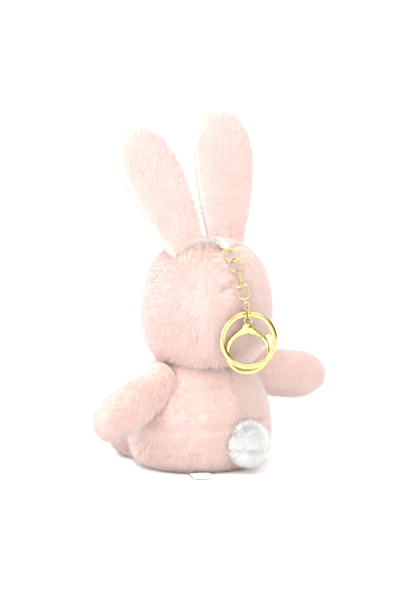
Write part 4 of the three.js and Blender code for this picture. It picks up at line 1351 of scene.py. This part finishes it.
@dataclass(frozen=True)
class SplitRing:
    """The split key ring: a flat band wound twice, with a step from one turn to the other."""

    band_mm: float = 2.8
    turn_mm: float = 0.8
    spacing_mm: float = 0.06
    edge_mm: float = 0.34
    dome_mm: float = 0.22
    split_turn: float = math.radians(75)
    step_share: float = 0.06
    end_gap_share: float = 0.005
    facets: int = 220

    def section(self) -> np.ndarray:
        """The outline of one turn: a flat band with rounded edges, and a slight dome on its outer face."""
        half_band, half_turn, edge = self.band_mm / 2, self.turn_mm / 2, self.edge_mm
        outline = []
        for side, start in ((1, 90), (-1, 270)):
            for across in np.linspace(side * (half_band - edge), -side * (half_band - edge), 9)[1:-1]:
                dome = self.dome_mm * (1 - (across / half_band) ** 2)
                outline.append((across, half_turn + dome if side > 0 else -half_turn))
            for step in range(0, 181, 30):
                bend = math.radians(start + step)
                x = -side * (half_band - edge) + edge * math.cos(bend)
                outline.append((x, half_turn * math.sin(bend)))
        return np.array(outline)

    def build(self) -> None:
        """Builds the ring in the place of the frame's key ring."""
        points = node_points("key_ring")
        middle = (points.min(axis=0) + points.max(axis=0)) / 2
        axes = np.linalg.svd(points - points.mean(axis=0), full_matrices=False)[2]
        normal = axes[2] if axes[2][1] > 0 else -axes[2]
        up = unit(UP - normal * normal.dot(UP))
        across = np.cross(normal, up)
        axes = np.array([across, up, normal])
        local = (points - middle) @ axes.T
        shift = (local.max(axis=0) + local.min(axis=0)) / 2
        centre = middle + shift @ axes
        radius = np.linalg.norm(local[:, :2] - shift[:2], axis=1).max() - self.band_mm / 2
        share = np.linspace(0, 2 - self.step_share - self.end_gap_share, self.facets)
        angle = self.split_turn - share * 2 * math.pi
        level = (smooth_step(share, 1 - self.step_share, 1) - 0.5) * (self.turn_mm + self.spacing_mm)
        section = self.section()
        out = np.cos(angle)[:, None] * across + np.sin(angle)[:, None] * up
        ring = centre + out[:, None] * (radius + section[:, 0])[None, :, None]
        ring = ring + normal * (level[:, None] + section[:, 1])[..., None]
        count, sides = ring.shape[:2]
        faces = []
        for i in range(count - 1):
            for j in range(sides):
                k = (j + 1) % sides
                faces.append((i * sides + j, i * sides + k, (i + 1) * sides + k, (i + 1) * sides + j))
        faces.append(tuple(range(sides))[::-1])
        faces.append(tuple((count - 1) * sides + j for j in range(sides)))
        piece = new_piece("split_key_ring", ring.reshape(-1, 3), faces, [Finish.GOLD])
        piece.data.set_sharp_from_angle(angle=math.radians(50))
        settle_piece(piece, "key_ring", "gold", "key_ring")


@dataclass(frozen=True)
class Casting:
    """A small cast and polished part in the place of a frame node."""

    node: str
    name: str
    body: str
    grain_mm: float
    passes: int
    knob_mm: tuple[float, float, float] | None = None
    knob_drop_mm: float = 5.9
    knob_out_mm: float = 0.3

    def knob(self) -> Basis | None:
        """The place and half sizes of the round knob on the clasp's head, if this casting has one."""
        if self.knob_mm is None:
            return None
        points = node_points(self.node)
        hold = joint_point("clasp_swing")
        flat = np.linalg.svd(points - points.mean(axis=0), full_matrices=False)[2][2]
        outward = flat if flat[1] > 0 else -flat
        up = hold - points.mean(axis=0)
        up = unit(up - outward * up.dot(outward))
        across = np.cross(up, outward)
        wide, thick, tall = self.knob_mm
        level = (points - hold) @ outward
        middle = hold - up * self.knob_drop_mm + outward * (level.max() + level.min()) / 2
        return Basis(middle + outward * self.knob_out_mm, across * wide, outward * thick, up * tall)

    def build(self) -> None:
        """Builds the casting."""
        piece = cast(self.node, self.name, self.grain_mm, self.passes, self.knob())
        settle_piece(piece, self.body, "gold", self.node)


class Hardware:
    """Every metal part that hangs from the ribbon."""

    rings = (
        WireRing("loop_ring", "loop_ring", wire_mm=0.9),
        WireRing("jump_ring_1", "jump_ring_1", wire_mm=0.9, cut_turn=0.6),
        WireRing("jump_ring_2", "jump_ring_2", wire_mm=0.9, cut_turn=3.6),
        WireRing("chain_link_1", "chain_link_1", wire_mm=0.7, cut_turn=math.pi / 2),
        WireRing("chain_link_2", "chain_link_2", wire_mm=0.7, cut_turn=math.pi / 2),
        WireRing("end_ring", "end_ring", wire_mm=0.9, cut_turn=1.9),
    )
    castings = (
        Casting("swivel_upper_loop", "swivel_upper", "swivel_upper", grain_mm=0.11, passes=5),
        Casting("swivel_lower_loop", "swivel_lower", "swivel_lower", grain_mm=0.11, passes=5),
        Casting("swivel_pin", "swivel_rivet", "swivel_upper", grain_mm=0.08, passes=3),
        Casting("clasp_body", "clasp_casting", "clasp", grain_mm=0.17, passes=7, knob_mm=(3.3, 2.0, 3.0)),
        Casting("clasp_gate", "clasp_gate_lever", "clasp_gate", grain_mm=0.14, passes=5),
        Casting("clasp_pin", "clasp_pivot_pin", "clasp", grain_mm=0.08, passes=3),
        Casting("clasp_spring", "clasp_gate_spring", "clasp", grain_mm=0.06, passes=2),
    )

    def build(self) -> None:
        """Builds the rings, the castings and the key ring."""
        for part in (*self.rings, *self.castings, SplitRing()):
            part.build()


# ---------------------------------------------------------------- studio


def direction(azimuth: float, elevation: float) -> Vector:
    """The direction from the object to a place round it, both angles in degrees."""
    turn, rise = math.radians(azimuth), math.radians(elevation)
    return Vector((math.sin(turn) * math.cos(rise), -math.cos(turn) * math.cos(rise), math.sin(rise)))


def look_from(thing: bpy.types.Object, target: Vector, heading: Vector, away: float) -> None:
    """Places a lamp or camera and turns it to a target.

    Args:
        thing: The lamp or camera, which is linked to the scene.
        target: The place that it looks at, in metres.
        heading: The direction from the target to it.
        away: Its distance in metres.
    """
    thing.location = target + heading * away
    thing.rotation_euler = heading.to_track_quat("Z", "Y").to_euler()
    bpy.context.scene.collection.objects.link(thing)


@dataclass(frozen=True)
class Softbox:
    """A square soft light that looks at the object: angles in degrees, sizes in metres, power in watts."""

    name: str
    azimuth: float
    elevation: float
    away: float
    size: float
    power: float

    def build(self, target: Vector) -> None:
        """Adds the light."""
        data = bpy.data.lights.new(self.name, "AREA")
        data.size = self.size
        data.energy = self.power
        lamp = bpy.data.objects.new(self.name, data)
        look_from(lamp, target, direction(self.azimuth, self.elevation), self.away)


@dataclass
class Studio:
    """A white table in a white room, with soft light from above and a long lens. Sizes are metres."""

    azimuth: float = 140.0
    elevation: float = 9.0
    distance: float = 1.4
    view_height: float = 0.3156
    target: tuple[float, float, float] = (0.0, 0.0, 0.0868)
    table_reach: float = 30.0
    exposure: float = 0.18
    room_strength: float = 1.15
    # place and brightness along the room's ramp, from behind the object to behind the lens
    mirrored_bands: tuple[tuple[float, float], ...] = (
        (0.0, 0.9),
        (0.08, 0.02),
        (0.28, 0.02),
        (0.34, 1.0),
        (0.46, 1.0),
        (0.52, 0.02),
        (0.86, 0.02),
        (0.93, 0.95),
    )
    softboxes: tuple[Softbox, ...] = (
        Softbox("ceiling_softbox", 100, 68, away=0.9, size=0.9, power=5.0),
        Softbox("side_softbox", 95, 25, away=1.1, size=0.7, power=3.0),
        Softbox("front_softbox", 165, 32, away=1.5, size=1.0, power=6.0),
        Softbox("low_fill_softbox", 125, 7, away=1.3, size=0.8, power=4.5),
    )

    def room(self) -> None:
        """Surroundings that are white to the eye, and banded dark and bright where the metal mirrors them."""
        world = bpy.data.worlds.new("white_room")
        world.use_nodes = True
        bpy.context.scene.world = world
        tree = world.node_tree
        place = add_node(tree, "TexCoord").outputs["Generated"]
        inputs = {0: place, 1: tuple(direction(self.azimuth, self.elevation))}
        facing = add_node(tree, "VectorMath", inputs, operation="DOT_PRODUCT").outputs["Value"]
        ramp = add_node(tree, "ValToRGB", {"Fac": facing})
        while len(ramp.color_ramp.elements) < len(self.mirrored_bands):
            ramp.color_ramp.elements.new(0.5)
        for element, (position, value) in zip(ramp.color_ramp.elements, self.mirrored_bands):
            element.position = position
            element.color = (value, value, value, 1)
        mirrored = add_node(tree, "LightPath").outputs["Is Glossy Ray"]
        inputs = {"Factor": mirrored, 6: (1, 1, 1, 1), 7: ramp.outputs[0]}
        seen = add_node(tree, "Mix", inputs, data_type="RGBA")
        tree.links.new(seen.outputs[2], tree.nodes["Background"].inputs["Color"])
        tree.nodes["Background"].inputs["Strength"].default_value = self.room_strength

    def table(self) -> None:
        """Adds the pale table top."""
        material, tree, shader = new_material("white_table_top")
        place = add_node(tree, "TexCoord").outputs["Object"]
        grain = add_node(tree, "TexNoise", {"Vector": place, "Scale": 40.0}).outputs["Fac"]
        tree.links.new(two_tone(tree, grain, "#fbfbfb", "#f7f7f7"), shader.inputs["Base Color"])
        shader.inputs["Roughness"].default_value = 0.9
        shader.inputs["Specular IOR Level"].default_value = 0.1
        reach = self.table_reach
        corners = [(-reach, -reach, 0), (reach, -reach, 0), (reach, reach, 0), (-reach, reach, 0)]
        mesh = bpy.data.meshes.new("table_top")
        mesh.from_pydata(corners, [], [(0, 1, 2, 3)])
        mesh.materials.append(material)
        table = bpy.data.objects.new("table_top", mesh)
        bpy.context.scene.collection.objects.link(table)

    def camera(self) -> None:
        """Adds the camera."""
        data = bpy.data.cameras.new("camera")
        data.lens = data.sensor_width / 2 / (self.view_height / 2 / self.distance)
        data.clip_end = 100
        camera = bpy.data.objects.new("camera", data)
        look_from(camera, Vector(self.target), direction(self.azimuth, self.elevation), self.distance)
        bpy.context.scene.camera = camera

    def build(self) -> None:
        """Builds the room, the table, the lights and the camera."""
        bpy.context.scene.view_settings.view_transform = "Standard"
        bpy.context.scene.view_settings.exposure = self.exposure
        self.camera()
        self.room()
        self.table()
        for softbox in self.softboxes:
            softbox.build(Vector(self.target))


def main() -> None:
    """Builds the keychain and its studio in order."""
    logging.basicConfig(level=logging.INFO, format="%(name)s: %(message)s")
    Studio().build()
    head = Head()
    head.build()
    Body().build()
    for side in Side:
        Arm(side).build()
        Ear(side).build()
        Foot(side).build()
    Tail().build()
    for stitching in (
        Stitching("left_eye", "left_eye_stitching", "thread", Finish.BROWN_THREAD),
        Stitching("right_eye", "right_eye_stitching", "thread", Finish.BROWN_THREAD),
        Stitching("nose", "nose_stitching", "nose_thread", Finish.ROSE_THREAD),
    ):
        stitching.build(head)
    Ribbon().build()
    CareLabel().build()
    Hardware().build()


if __name__ == "__main__":
    main()
